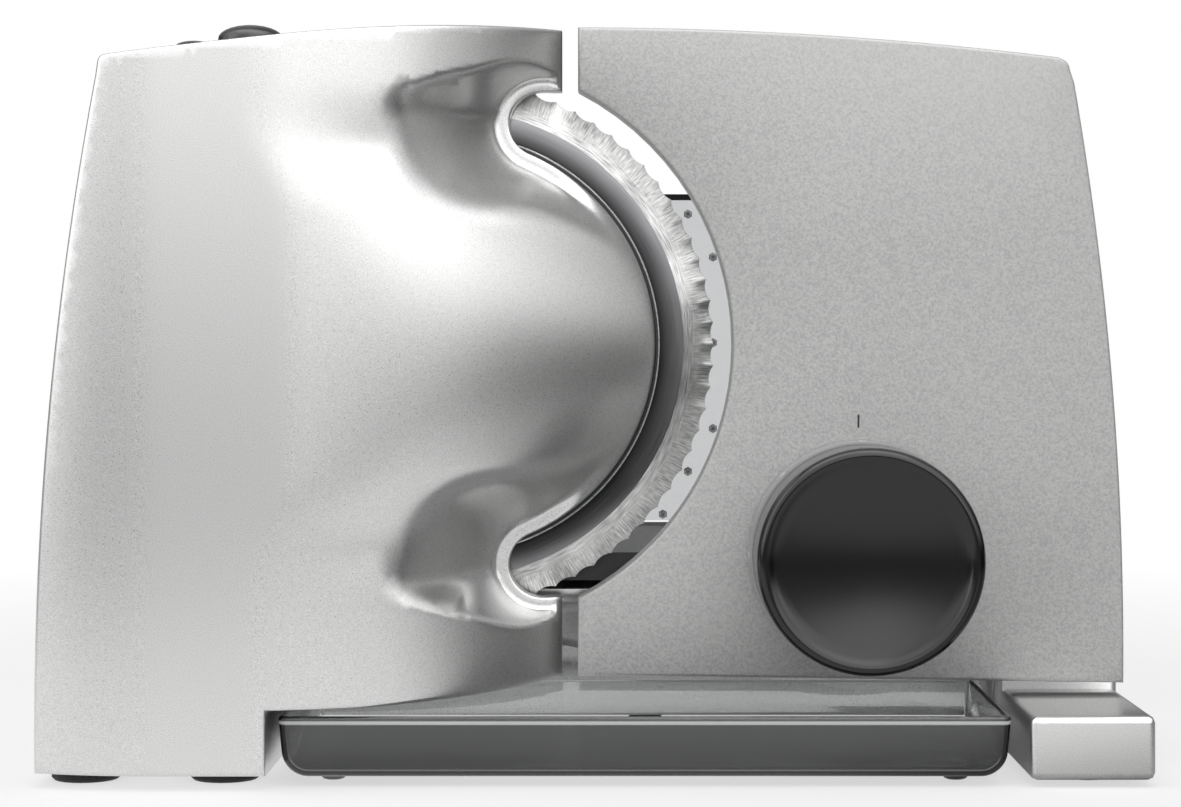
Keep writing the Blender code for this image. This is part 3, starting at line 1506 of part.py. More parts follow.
def knob_cam(finish, carrier):
    """A tube whose rear end climbs once round, and pushes the plate away from the fixed post."""
    turns = [2 * math.pi * step / cam_steps for step in range(cam_steps)]
    post_turn = math.pi / 2

    def climb(turn):
        behind = (post_turn - turn) % (2 * math.pi)
        if behind >= cam_step_angle - math.pi / cam_steps:
            return 0
        return plate_travel * min(behind / cam_travel_angle, 1)

    front = knob_inner_y() + seat_gap
    mesh = bmesh.new()
    rings = []
    for radius, is_rear in (
        (cam_inner_radius, False),
        (cam_outer_radius, False),
        (cam_outer_radius, True),
        (cam_inner_radius, True),
    ):
        ring = []
        for turn in turns:
            height = cam_low_y() + climb(turn) if is_rear else front
            ring.append(mesh.verts.new((radius * math.cos(turn), radius * math.sin(turn), height)))
        rings.append(ring)
    for first, second in zip(rings, rings[1:] + rings[:1]):
        bridge(mesh, first, second)
    bmesh.ops.recalc_face_normals(mesh, faces=mesh.faces)
    return solid("knob_cam", mesh, finish, (knob_x, 0, knob_z), ALONG_Y, carrier)


def cam_post(finish):
    """The fixed pin in the deck's edge that the cam climbs on."""
    tip_y = cam_low_y() + cam_clearance
    profile = (
        (cam_post_tip_radius, tip_y),
        (cam_post_radius, tip_y + cam_post_tip_height),
        (cam_post_radius, base_front_y + cam_post_seat_length - seat_gap),
    )
    return solid("cam_post", turned(profile, small_steps), finish, (knob_x, 0, cam_post_z), ALONG_Y)


# Tray

def slice_tray(finish, carrier):
    """The clear tray: walls lean out a little towards the rim."""
    mesh = block(
        (tray_left_x, tray_front_y, tray_bottom_z), (tray_right_x, tray_rear_y, tray_rim_z)
    )
    middle = Vector(((tray_left_x + tray_right_x) / 2, (tray_front_y + tray_rear_y) / 2, 0))
    for corner in mesh.verts:
        if corner.co.z < tray_rim_z - tray_wall:
            corner.co.x += tray_draft if corner.co.x < middle.x else -tray_draft
            corner.co.y += tray_draft if corner.co.y < middle.y else -tray_draft
    top = [face for face in mesh.faces if face.normal.z > 0.9]
    bmesh.ops.delete(mesh, geom=top, context="FACES_ONLY")
    low = tray_bottom_z + tray_wall
    ends = [
        edge
        for edge in mesh.edges
        if max(corner.co.z for corner in edge.verts) < low and abs(edge.verts[0].co.x - edge.verts[1].co.x) < tray_wall
    ]
    bmesh.ops.bevel(mesh, geom=ends, offset=tray_corner_radius, segments=4, profile=0.5, affect="EDGES")
    tray = solid("slice_tray", mesh, finish)
    thicken(tray, tray_wall)
    for x in (tray_left_x + tray_foot_inset_x, tray_right_x - tray_foot_inset_x):
        for y in (tray_front_y + tray_foot_inset_y, tray_rear_y - tray_foot_inset_y):
            low_z = tray_bottom_z - tray_foot_height
            profile = ((tray_foot_radius - foot_bevel, low_z), (tray_foot_radius, tray_bottom_z + tray_wall / 2))
            fuse(tray, solid("tray foot", turned(profile, small_steps), finish, (x, y, 0)))
    tray.parent = carrier
    tray.location = -carrier.location
    return tray


# Carriage, rail and pusher

def food_carriage(finish, carrier):
    """The sliding table with its fence: hollow below."""
    low = (carriage_left_x, carriage_front_y, carriage_bottom_z)
    high = (carriage_right_x, half_depth, carriage_top_z)
    mesh = block(low, high, carriage_corner_radius, 2, 3)
    under = [face for face in mesh.faces if face.normal.z < -0.9]
    bmesh.ops.delete(mesh, geom=under, context="FACES")
    table = solid("food_carriage", mesh, finish)
    thicken(table, carriage_wall)
    fence_low = (carriage_right_x - fence_thickness, carriage_front_y + fence_front_gap, carriage_top_z - carriage_wall / 2)
    fence_high = (carriage_right_x - seat_gap, half_depth - fence_front_gap, fence_top_z)
    fuse(table, solid("fence", block(fence_low, fence_high), finish))
    notch = rail_half_width + notch_gap
    notch_top_z = deck_top_z + seat_gap + rail_height + notch_gap
    notch_low = (carriage_left_x - cut_overrun, rail_y - notch, carriage_bottom_z - cut_overrun)
    notch_high = (carriage_right_x + cut_overrun, rail_y + notch, notch_top_z)
    carve(table, solid("rail notch", block(notch_low, notch_high)))
    table.parent = carrier
    table.location = -carrier.location
    return table


def slide_rail(finish):
    low = (rail_left_x, rail_y - rail_half_width, deck_top_z + seat_gap)
    high = (rail_right_x, rail_y + rail_half_width, deck_top_z + seat_gap + rail_height)
    return solid("slide_rail", block(low, high), finish)


def carriage_runner(finish, carrier):
    """A channel under the carriage that straddles the rail."""
    rail_top_z = deck_top_z + seat_gap + rail_height
    low = (carriage_left_x + runner_end_gap, rail_y - runner_half_width, deck_top_z + 2 * seat_gap)
    high_z = carriage_top_z - carriage_wall - seat_gap
    high = (carriage_right_x - runner_end_gap, rail_y + runner_half_width, high_z)
    runner = solid("carriage_runner", block(low, high), finish)
    slot = rail_half_width + seat_gap
    cut_low = (carriage_left_x - cut_overrun, rail_y - slot, deck_top_z - cut_overrun)
    cut_high = (carriage_right_x + cut_overrun, rail_y + slot, rail_top_z + seat_gap)
    carve(runner, solid("rail slot", block(cut_low, cut_high)))
    runner.parent = carrier
    runner.location = -carrier.location
    return runner


def nub_places():
    """Centres of the gripping nubs: rows staggered by half a pitch, the lowest one clear of the plate's corners."""
    places = []
    rows = int((pusher_top_z - pusher_bottom_z - lowest_nub_height - nub_margin / 2) / nub_pitch_z) + 1
    columns = int((pusher_right_x - pusher_left_x - 2 * nub_margin - nub_pitch_x / 2) / nub_pitch_x) + 1
    for row in range(rows):
        shift = nub_pitch_x / 2 * (row % 2)
        skipped = 1 if row == 0 else 0
        for column in range(skipped, columns - skipped):
            x = pusher_left_x + nub_margin + shift + column * nub_pitch_x
            places.append((x, pusher_bottom_z + lowest_nub_height + row * nub_pitch_z))
    return places


def pusher_plate(finish, carrier):
    """Clear plate that presses the food, with nubs that grip it."""
    inset = pusher_corner_radius
    low_left = (pusher_left_x + inset, pusher_bottom_z + inset)
    high_right = (pusher_right_x - inset, pusher_top_z - inset)
    quarter = math.pi / 2
    corners = (
        (low_left, 2 * quarter),
        ((high_right[0], low_left[1]), 3 * quarter),
        (high_right, 0),
        ((low_left[0], high_right[1]), quarter),
    )
    outline = []
    for centre, start in corners:
        outline += arc(centre, inset, start, start + quarter, 4)
    rear_y = pusher_front_y + pusher_thickness
    sheet = solid("pusher_plate", plate(outline, pusher_front_y, rear_y), finish)
    nubs = bmesh.new()
    for x, z in nub_places():
        cone = bmesh.ops.create_cone(nubs, cap_ends=True, segments=6, radius1=nub_radius, radius2=nub_radius / 3,
                                     depth=nub_height + fuse_overlap)
        for corner in cone["verts"]:
            across, along, up = corner.co
            corner.co = (x + across, pusher_front_y + fuse_overlap - (nub_height + fuse_overlap) / 2 - up, z + along)
    bmesh.ops.recalc_face_normals(nubs, faces=nubs.faces)
    fuse(sheet, solid("nubs", nubs, finish))
    sheet.parent = carrier
    sheet.location = -carrier.location
    return sheet


def pusher_bracket(finish, carrier):
    """The saddle that slides on the fence, and its arm behind the pusher plate."""
    arm_front_y = pusher_front_y + pusher_thickness + seat_gap
    low_z = fence_top_z + bracket_above_fence - bracket_height
    high_z = fence_top_z + bracket_above_fence
    fence_left_x = carriage_right_x - fence_thickness
    saddle_low = (fence_left_x - seat_gap - bracket_wall, bracket_front_y, low_z)
    saddle_high = (carriage_right_x + bracket_wall, half_depth - seat_gap, high_z)
    saddle = solid("pusher_bracket", block(saddle_low, saddle_high), finish)
    arm_low = (pusher_right_x - bracket_arm_length, arm_front_y, low_z)
    arm_high = (fence_left_x - bracket_wall, arm_front_y + bracket_arm_thickness, high_z)
    fuse(saddle, solid("arm", block(arm_low, arm_high), finish))
    slot_low = (fence_left_x - seat_gap, bracket_front_y - cut_overrun, low_z - cut_overrun)
    slot_high = (carriage_right_x, half_depth + cut_overrun, fence_top_z + seat_gap)
    carve(saddle, solid("fence slot", block(slot_low, slot_high)))
    saddle.parent = carrier
    saddle.location = -carrier.location
    return saddle


def build():
    clear_scene()
    silver = look("silver painted casting", 0.56, 0.56, 0.55, 0.38, 0.7)
    textured = look("silver textured paint", 0.58, 0.58, 0.57, 0.5, 0.6)
    steel = look("ground stainless steel", 0.62, 0.61, 0.59, 0.28, 1)
    turned_steel = look("turned steel", 0.55, 0.55, 0.56, 0.3, 1)
    zinc = look("die-cast zinc", 0.5, 0.5, 0.51, 0.45, 1)
    bronze = look("sintered bronze", 0.45, 0.3, 0.15, 0.45, 1)
    black = look("black satin plastic", 0.02, 0.02, 0.021, 0.42)
    dark = look("dark grey plastic", 0.04, 0.04, 0.042, 0.5)
    nylon = look("white nylon", 0.75, 0.73, 0.68, 0.5)
    grey = look("grey scale plastic", 0.16, 0.16, 0.165, 0.5)
    smoke = look("smoke clear plastic", 0.12, 0.12, 0.125, 0.08, 0, 0.45)
    rubber = look("black rubber", 0.015, 0.015, 0.015, 0.8)
    ferrite = look("ferrite", 0.05, 0.05, 0.05, 0.7)
    copper = look("copper", 0.6, 0.28, 0.14, 0.35, 1)

    blade_pivot = pivot("blade axis", (blade_x, 0, blade_z))
    lock_pivot = pivot("blade lock axis", (blade_x, 0, blade_z))
    wheel_pivot = pivot("wheel axis", (pinion_x, 0, blade_z))
    rotor_pivot = pivot("motor axis", (worm_x, worm_y, 0))
    plate_slide = pivot("stop plate slide", (knob_x, plate_front_y, rod_z))
    knob_pivot = pivot("knob axis", (knob_x, 0, knob_z))
    tray_slide = pivot("tray slide", (0, tray_front_y, 0))
    carriage_slide = pivot("carriage slide", (0, rail_y, deck_top_z))
    pusher_slide = pivot("pusher slide", (carriage_right_x, pusher_front_y, fence_top_z))
    power_slide = pivot("power button slide", (power_button_x, button_y, 0))
    lock_slide = pivot("lock button slide", (lock_button_x, button_y, 0))

    base_casting(silver)
    front_housing(silver)
    rear_cover(silver)
    gear_frame(zinc)
    motor_can(turned_steel)
    motor_end_cap(dark)
    magnet("magnet_left", ferrite, -1)
    magnet("magnet_right", ferrite, 1)
    worm_bearing(bronze)
    pinion_bush(bronze)
    blade_axle(turned_steel)
    switch_body(dark)
    slide_rail(turned_steel)
    cam_post(turned_steel)
    for name, x in zip(("guide_bush_left", "guide_bush_right"), rod_places_x):
        guide_bush(name, nylon, x)
    cord_gland(rubber)
    for number, (x, y) in enumerate(housing_foot_places, 1):
        foot(f"housing_foot_{number}", rubber, x, y, housing_foot_radius, foot_height)
    for number, (x, y) in enumerate(base_foot_places, 1):
        foot(f"rear_foot_{number}", rubber, x, y, base_foot_radius, foot_height)
    foot("block_foot", rubber, *block_foot_place, base_foot_radius, foot_block_bottom_z)
    bridge_foot_y = bridge_front_y + bridge_foot_radius + foot_bevel
    foot("bridge_foot", rubber, bridge_foot_x, bridge_foot_y, bridge_foot_radius, bridge_clearance_z)
    for number, place in enumerate(cover_post_places, 1):
        screw(f"cover_screw_{number}", turned_steel, place, cover_face_y + seat_gap)
    base_screw_seat_y = base_front_y + base_wall + seat_gap
    for number, place in enumerate(base_post_places, 1):
        screw(f"base_screw_{number}", turned_steel, place, base_screw_seat_y)
    for number, place in enumerate(frame_post_places, 1):
        screw(f"frame_screw_{number}", turned_steel, place, frame_rear_y + seat_gap)

    blade_disc(steel, blade_pivot)
    blade_gear(nylon, blade_pivot)
    blade_hub(bronze, blade_pivot)
    blade_lock(black, lock_pivot)
    worm_wheel(nylon, wheel_pivot)
    pinion_shaft(turned_steel, wheel_pivot)
    motor_shaft(turned_steel, rotor_pivot)
    armature(ferrite, rotor_pivot)
    commutator(copper, rotor_pivot)
    cooling_fan(dark, rotor_pivot)

    stop_plate(textured, plate_slide)
    stop_plate_facing(steel, plate_slide)
    for name, x in zip(("guide_rod_left", "guide_rod_right"), rod_places_x):
        guide_rod(name, turned_steel, x, plate_slide)
    knob_axle(turned_steel, plate_slide)
    thickness_knob(black, knob_pivot)
    scale_ring(grey, knob_pivot)
    knob_cam(nylon, knob_pivot)

    slice_tray(smoke, tray_slide)
    food_carriage(dark, carriage_slide)
    carriage_runner(nylon, carriage_slide)
    pusher_plate(smoke, pusher_slide)
    pusher_bracket(dark, pusher_slide)

    button("power_button", black, power_button_x, power_button_half_width, power_button_half_depth,
           power_button_rise, power_slide)
    button("lock_button", black, lock_button_x, lock_button_half_width, lock_button_half_depth,
           lock_button_rise, lock_slide)
    return_spring("power_spring", turned_steel, power_button_x, power_button_rise, power_slide)
    return_spring("lock_spring", turned_steel, lock_button_x, lock_button_rise, lock_slide)


build()
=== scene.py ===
# %% [markdown]
# Electric food slicer, dressed for its portrait.
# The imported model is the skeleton: it says where every piece is and how it moves. In this lesson the pieces
# that the eye meets first are modelled again with rounded edges and fine detail, and every other piece gets a
# finish of its own. Lengths are in metres, +X is to the right, +Z is up and the camera looks along +Y.

# %% Load the skeleton
import math

import bmesh
import bpy
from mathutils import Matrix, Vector, geometry


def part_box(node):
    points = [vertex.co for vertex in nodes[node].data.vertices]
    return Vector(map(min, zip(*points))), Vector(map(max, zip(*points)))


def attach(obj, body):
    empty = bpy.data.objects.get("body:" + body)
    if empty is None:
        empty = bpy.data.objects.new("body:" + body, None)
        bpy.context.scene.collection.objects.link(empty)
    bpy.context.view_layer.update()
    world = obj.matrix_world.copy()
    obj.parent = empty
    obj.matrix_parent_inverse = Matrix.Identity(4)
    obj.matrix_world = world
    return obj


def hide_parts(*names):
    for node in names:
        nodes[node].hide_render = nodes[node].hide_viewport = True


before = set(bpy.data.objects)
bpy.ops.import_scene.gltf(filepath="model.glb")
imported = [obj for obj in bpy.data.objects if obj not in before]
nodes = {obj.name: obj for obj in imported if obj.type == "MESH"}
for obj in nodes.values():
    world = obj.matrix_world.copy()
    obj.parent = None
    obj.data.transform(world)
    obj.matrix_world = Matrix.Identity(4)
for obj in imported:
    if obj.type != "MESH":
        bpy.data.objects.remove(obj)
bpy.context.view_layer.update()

# %% [markdown]
# Every piece below is made by the same few moves: put down a primitive, shape it in edit mode with parts of
# it selected by their place, then bake its place into the mesh and hand it to the body that carries it.
# Writing these moves once keeps each piece's own cell short.

# %% Moves for modelling
DOUBLES = 2e-6


def activate(piece):
    bpy.ops.object.select_all(action="DESELECT")
    piece.select_set(True)
    bpy.context.view_layer.objects.active = piece


def begin(kind, name, **settings):
    """Put down a primitive and open it in edit mode."""
    bpy.ops.object.select_all(action="DESELECT")
    getattr(bpy.ops.mesh, "primitive_" + kind + "_add")(**settings)
    piece = bpy.context.object
    piece.name = piece.data.name = name
    bpy.ops.object.transform_apply(location=True, rotation=True, scale=True)
    bpy.ops.object.mode_set(mode="EDIT")
    bpy.ops.mesh.select_mode(type="VERT")
    return piece


def choose(kind, test):
    """Select the vertices, edges or faces of the open piece that pass the test, and nothing else."""
    mesh = bmesh.from_edit_mesh(bpy.context.object.data)
    bpy.ops.mesh.select_mode(type={"verts": "VERT", "edges": "EDGE", "faces": "FACE"}[kind])
    bpy.ops.mesh.select_all(action="DESELECT")
    for part in getattr(mesh, kind):
        part.select_set(bool(test(part)))
    mesh.select_flush_mode()
    bmesh.update_edit_mesh(bpy.context.object.data)


def choose_all():
    bpy.ops.mesh.select_all(action="SELECT")


def extrude(step):
    """Extrude what is selected and move it by a step."""
    bpy.ops.mesh.extrude_region_move(TRANSFORM_OT_translate={"value": step})


def close():
    """Leave edit mode."""
    bpy.ops.object.mode_set(mode="OBJECT")


def face_outwards():
    """Turn every face outwards and leave edit mode."""
    choose_all()
    bpy.ops.mesh.normals_make_consistent(inside=False)
    close()


def tidy():
    """Merge doubles and turn every face outwards, then leave edit mode."""
    choose_all()
    bpy.ops.mesh.remove_doubles(threshold=DOUBLES)
    face_outwards()


def trace(name, points, closed=False):
    """Draw a line as by hand: one vertex, extruded from point to point."""
    piece = begin("plane", name, size=0.001, location=points[0])
    choose_all()
    bpy.ops.mesh.merge(type="CENTER")
    here = Vector(points[0])
    for point in points[1:]:
        extrude(Vector(point) - here)
        here = Vector(point)
    if closed:
        choose("verts", lambda corner: len(corner.link_edges) == 1)
        bpy.ops.mesh.edge_face_add()
    return piece


def turn(name, profile, centre, steps=96, axis="Y"):
    """Turn a closed profile of (radius, height) points round an axis along Y or Z."""
    first, second = centre
    if axis == "Y":
        points = [(first + radius, height, second) for radius, height in profile]
        middle, direction = (first, 0, second), (0, 1, 0)
    else:
        points = [(first + radius, second, height) for radius, height in profile]
        middle, direction = (first, second, 0), (0, 0, 1)
    piece = trace(name, points, closed=profile[0][0] > 0)
    choose_all()
    bpy.ops.mesh.spin(steps=steps, angle=2 * math.pi, center=middle, axis=direction)
    tidy()
    return piece


def modify(piece, kind, **settings):
    """Add a modifier with its settings and apply it."""
    activate(piece)
    modifier = piece.modifiers.new(kind.title(), kind)
    for key, value in settings.items():
        setattr(modifier, key, value)
    bpy.ops.object.modifier_apply(modifier=modifier.name)


def copy_of(name, source):
    """A copy of a piece or a node, with its own mesh, merged and free of its carrier."""
    twin = source.copy()
    twin.data = source.data.copy()
    twin.name = twin.data.name = name
    twin.parent = None
    for key in list(twin.keys()):
        del twin[key]
    bpy.context.scene.collection.objects.link(twin)
    activate(twin)
    bpy.ops.object.mode_set(mode="EDIT")
    choose_all()
    bpy.ops.mesh.remove_doubles(threshold=DOUBLES)
    close()
    return twin


def join(parts, target):
    """Join pieces to a target, which keeps its name."""
    activate(target)
    for part in parts:
        part.select_set(True)
    bpy.ops.object.join()


def middle_and_size(low, high):
    """A box's middle and its lengths, from two of its corners."""
    pairs = list(zip(low, high))
    return [(least + most) / 2 for least, most in pairs], [most - least for least, most in pairs]


def begin_box(name, low, high):
    middle, size = middle_and_size(low, high)
    return begin("cube", name, size=1, location=middle, scale=size)


def hand_over(piece, body, finish, slot, *replaced, smooth=35):
    """Shade and dress the piece, and let it ride on its body."""
    activate(piece)
    bpy.ops.object.transform_apply(location=True, rotation=True, scale=True)
    bpy.ops.object.shade_smooth_by_angle(angle=math.radians(smooth))
    piece.data.materials.clear()
    piece.data.materials.append(finish)
    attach(piece, body)
    if replaced:
        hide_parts(*replaced)
    print(piece.name, "rides on", body, "with", len(piece.data.polygons), "faces")

# %% [markdown]
# The portrait is taken from straight ahead, a little less than a metre away, level with the blade's axle.
# Such a view is best matched with the lens first: the machine's front face is 3.4 pixels to the millimetre
# and the food pusher far behind it only 2.7, which fixes the distance. The small shift slides the frame over
# the picture without turning the camera, so upright edges stay upright.

# %% Camera
camera_data = bpy.data.cameras.new("portrait camera")
camera_data.lens = 81.54
camera_data.sensor_width = 36
camera_data.shift_x = -0.02498
camera_data.shift_y = -0.0487
camera = bpy.data.objects.new("portrait camera", camera_data)
camera.location = (0.0075, -0.9065, 0.132)
camera.rotation_euler = (math.radians(90), 0, 0)
bpy.context.scene.collection.objects.link(camera)
bpy.context.scene.camera = camera
print("camera at", tuple(round(value, 4) for value in camera.location))

# %% [markdown]
# Colours are written as they look on a screen, as hex codes, and Blender calculates with linear light, so one
# function turns the first into the second. A few short functions add the shader nodes that come back again
# and again, each with its values or links. The last makes the graph that most surfaces share: a grain of the
# right size in millimetres that varies the colour a little, the roughness a little, and lifts the surface by
# a hair.

# %% Colour and nodes
def colour(code):
    """A linear colour from an sRGB hex code."""
    shares = [int(code[at:at + 2], 16) / 255 for at in (1, 3, 5)]
    linear = [share / 12.92 if share <= 0.04045 else ((share + 0.055) / 1.055) ** 2.4 for share in shares]
    return (*linear, 1.0)


def add_node(tree, kind, inputs=None, **settings):
    """Add a shader node, set its properties, and give each input a value or a link."""
    made = tree.nodes.new("ShaderNode" + kind)
    for key, value in settings.items():
        setattr(made, key, value)
    for key, value in (inputs or {}).items():
        if isinstance(value, bpy.types.NodeSocket):
            tree.links.new(value, made.inputs[key])
        else:
            made.inputs[key].default_value = value
    return made


def calc(tree, operation, *values, clamp=False):
    """One step of arithmetic."""
    return add_node(tree, "Math", dict(enumerate(values)), operation=operation, use_clamp=clamp).outputs[0]


def product(tree, first, *others):
    for other in others:
        first = calc(tree, "MULTIPLY", first, other)
    return first


def spread(tree, value, start, end, low=0.0, high=1.0, kind="LINEAR"):
    """A change from low to high while the value goes from start to end."""
    return add_node(tree, "MapRange", {
        "Value": value, "From Min": start, "From Max": end, "To Min": low, "To Max": high,
    }, interpolation_type=kind).outputs["Result"]


def blend(tree, share, first, second, kind="MIX"):
    """A colour between two others, or their product."""
    return add_node(tree, "Mix", {
        "Factor": share, 6: first, 7: second,
    }, data_type="RGBA", blend_type=kind).outputs[2]


def between(tree, share, first, second):
    """A number between two others."""
    return add_node(tree, "Mix", {0: share, 2: first, 3: second}).outputs[0]


def split(tree, vector):
    return add_node(tree, "SeparateXYZ", {0: vector}).outputs


def noise(tree, place, scale, detail):
    return add_node(tree, "TexNoise", {"Vector": place, "Scale": scale, "Detail": detail}).outputs["Fac"]


def start_finish(name):
    made = bpy.data.materials.new(name)
    made.use_nodes = True
    made.node_tree.nodes.clear()
    place = add_node(made.node_tree, "TexCoord").outputs["Object"]
    return made, made.node_tree, place


def end_finish(tree, base, roughness, height, lift, **sockets):
    """The end of a surface's graph: its bump, which lifts by the height times a length, and its shader."""
    bump = add_node(tree, "Bump", {"Height": height, "Distance": lift, "Strength": 1.0})
    shader = add_node(tree, "BsdfPrincipled", {
        "Base Color": base, "Roughness": roughness, "Normal": bump.outputs["Normal"], **sockets,
    })
    add_node(tree, "OutputMaterial", {"Surface": shader.outputs["BSDF"]})


def surface(name, dark, light, rough, grain, lift, metallic=0.0, stretch=(1, 1, 1), octaves=2.0, **sockets):
    """A finish with a grain of a real size: grain and lift are in millimetres, rough is (lowest, highest)."""
    made, tree, place = start_finish(name)
    stretched = add_node(tree, "Mapping", {"Vector": place, "Scale": stretch}).outputs["Vector"]
    share = spread(tree, noise(tree, stretched, 1000 / grain, octaves), 0.3, 0.7)
    base = blend(tree, share, colour(dark), colour(light))
    end_finish(tree, base, spread(tree, share, 0, 1, *rough), share, lift / 1000, Metallic=metallic, **sockets)
    return made

# %% [markdown]
# The housing is a light-metal casting, sprayed with silver lacquer: aluminium flakes in a clear binder. The
# eye sees a soft metallic sheen that follows the shape, with a fine sparkle. The flakes are finer than a
# pixel, so they are drawn a third of a millimetre wide. The stop plate has a structure lacquer instead, with
# the low bumps of orange peel, about a millimetre apart, so it looks flatter and rougher.

# %% Lacquers
silver_lacquer = surface(
    "silver flake lacquer on castings", "#b4b4b4", "#d6d6d5", (0.27, 0.33), 0.30, 0.0015, metallic=0.85,
    **{"Coat Weight": 0.25, "Coat Roughness": 0.14},
)
structure_lacquer = surface(
    "silver structure lacquer", "#999999", "#b3b3b2", (0.46, 0.62), 0.80, 0.022, metallic=0.55, octaves=3.0,
)
print("lacquers:", silver_lacquer.name, "and", structure_lacquer.name)

# %% [markdown]
# Plastics and rubber: the buttons are satin ABS with a fine spark-eroded grain, the knob is glossier and
# darker, the scale ring is grey, the gears and bushes are nylon, and the feet are matt rubber. None of them
# is pure black: a little light always comes back, and the grain breaks it up.

# %% Plastics and rubber
satin_black = surface("black satin ABS", "#0d0d0e", "#151516", (0.20, 0.28), 0.30, 0.003, IOR=1.53)
knob_black = surface("black ABS of the knob", "#08080a", "#0c0c0d", (0.13, 0.18), 0.30, 0.0015, IOR=1.44)
dark_plastic = surface("dark grey ABS", "#242426", "#303032", (0.42, 0.55), 0.35, 0.008, IOR=1.53)
scale_grey = surface("grey ABS of the scale", "#989898", "#a4a4a4", (0.38, 0.48), 0.35, 0.004, IOR=1.53)
mark_white = surface("white pad print", "#dcdcda", "#e9e9e7", (0.40, 0.50), 0.15, 0.001)
mark_black = surface("black pad print", "#0e0e0f", "#161617", (0.40, 0.50), 0.15, 0.001)
natural_nylon = surface("natural nylon", "#d9d4c6", "#e4dfd2", (0.40, 0.52), 0.8, 0.004, IOR=1.53)
matt_rubber = surface("matt black rubber", "#121213", "#1c1c1d", (0.70, 0.86), 0.5, 0.012, IOR=1.52)
print("plastics ready")

# %% [markdown]
# The metals inside the machine: turned steel with rings left by the tool, die-cast zinc with a dull skin,
# oil-filled bronze, copper on the commutator, and ferrite, a black ceramic. A metal's colour is its
# reflection, so they are metallic all the way and keep the standard refraction.

# %% Metals inside
turned_steel = surface("turned steel", "#8e8e90", "#a8a8aa", (0.22, 0.34), 0.25, 0.003, 1.0, (0.2, 1, 1))
cast_zinc = surface("die-cast zinc", "#85868a", "#9a9b9e", (0.42, 0.58), 0.9, 0.012, 1.0)
sintered_bronze = surface("oil-filled bronze", "#8a6433", "#a57c45", (0.36, 0.50), 0.25, 0.006, 1.0)
bright_copper = surface("commutator copper", "#a8613c", "#c47a52", (0.24, 0.36), 0.3, 0.003, 1.0)
black_ferrite = surface("sintered ferrite", "#262628", "#37373a", (0.55, 0.72), 0.35, 0.010)
facing_steel = surface(
    "brushed steel facing", "#a2a2a3", "#b9b9ba", (0.24, 0.36), 0.25, 0.003, 1.0, (0.04, 1, 1),
)
print("metals ready")

# %% [markdown]
# The tray and the pusher are clear styrene, smoked with a grey dye. Such plastic is one solid body that bends
# the light at both of its faces, and the dye darkens what is seen through it. The dye goes into the base
# colour, and very fine scuffs into the roughness, so it never looks like window glass. On the tray the dye is
# painted darker towards the front wall and paler towards the rear wall: a painted shade. Just under its rim
# runs a pale, less clear line: a painted highlight.

# %% Smoked clear plastic
SCUFF_SCALE, CLEAR_IOR = 330.0, 1.57
# Where the painted shade runs from the dark front wall to the pale rear wall, and where the painted highlight
# runs under the rim.
PAINTED_SHADE_FRONT_Y, PAINTED_SHADE_REAR_Y = -0.100, -0.022
HIGHLIGHT_LOW_Z, HIGHLIGHT_HIGH_Z, HIGHLIGHT_FRONT_Y = 0.0184, 0.0199, -0.1040

smoked_clear, tree, place = start_finish("smoke grey styrene")
_, backwards, upwards = split(tree, place)
scuffs = noise(tree, place, SCUFF_SCALE, 2.0)
# Painted shade: the smoke tint is darker towards the front wall and paler towards the rear wall.
dye_and_painted_light = blend(tree, spread(tree, backwards, PAINTED_SHADE_FRONT_Y, PAINTED_SHADE_REAR_Y), colour("#6e6f70"), colour("#f0f1f1"))
# Painted highlight: a pale, less clear line just under the front rim.
line = product(
    tree, spread(tree, upwards, HIGHLIGHT_LOW_Z, HIGHLIGHT_LOW_Z + 0.0004),
    spread(tree, upwards, HIGHLIGHT_HIGH_Z, HIGHLIGHT_HIGH_Z - 0.0003),
    spread(tree, backwards, HIGHLIGHT_FRONT_Y, HIGHLIGHT_FRONT_Y - 0.0004),
)
dye_and_painted_light = blend(tree, line, dye_and_painted_light, colour("#d6d7d8"))
dye_and_painted_light = blend(tree, 1.0, dye_and_painted_light, spread(tree, scuffs, 0, 1, 0.96, 1.0), "MULTIPLY")
end_finish(tree, dye_and_painted_light, spread(tree, scuffs, 0, 1, 0.02, 0.06), scuffs, 0.000002, IOR=CLEAR_IOR,
           **{"Transmission Weight": spread(tree, line, 0, 1, 1.0, 0.25)})
print("clear plastic ready")

# %% [markdown]
# The blade is ground stainless steel. Its flat side is polished, and the bevel that leads to the teeth is
# ground with a wheel that runs along the edge, which leaves streaks round the blade. Streaks that follow a
# circle need polar coordinates: the distance from the axle makes them fine across, and the angle makes them
# long. Close to the teeth they run outwards instead. Ground steel also draws a reflection out, here away from
# the axle. Close to the lip the polished side is painted darker: a painted shade for the lip's dark wall that
# the blade mirrors.

# %% Blade steel
BLADE_X, BLADE_Z, BLADE_RADIUS = -0.0473, 0.1326, 0.085
RIM_MM, TOOTH_STREAK = 80, (3.5, 0.45)
STREAKS_TURN, STREAKS_TURNED = 0.0775, 0.0805
LIP_SHADE_RADIUS, CLEAR_OF_LIP_SHADE = 0.0674, 0.0745


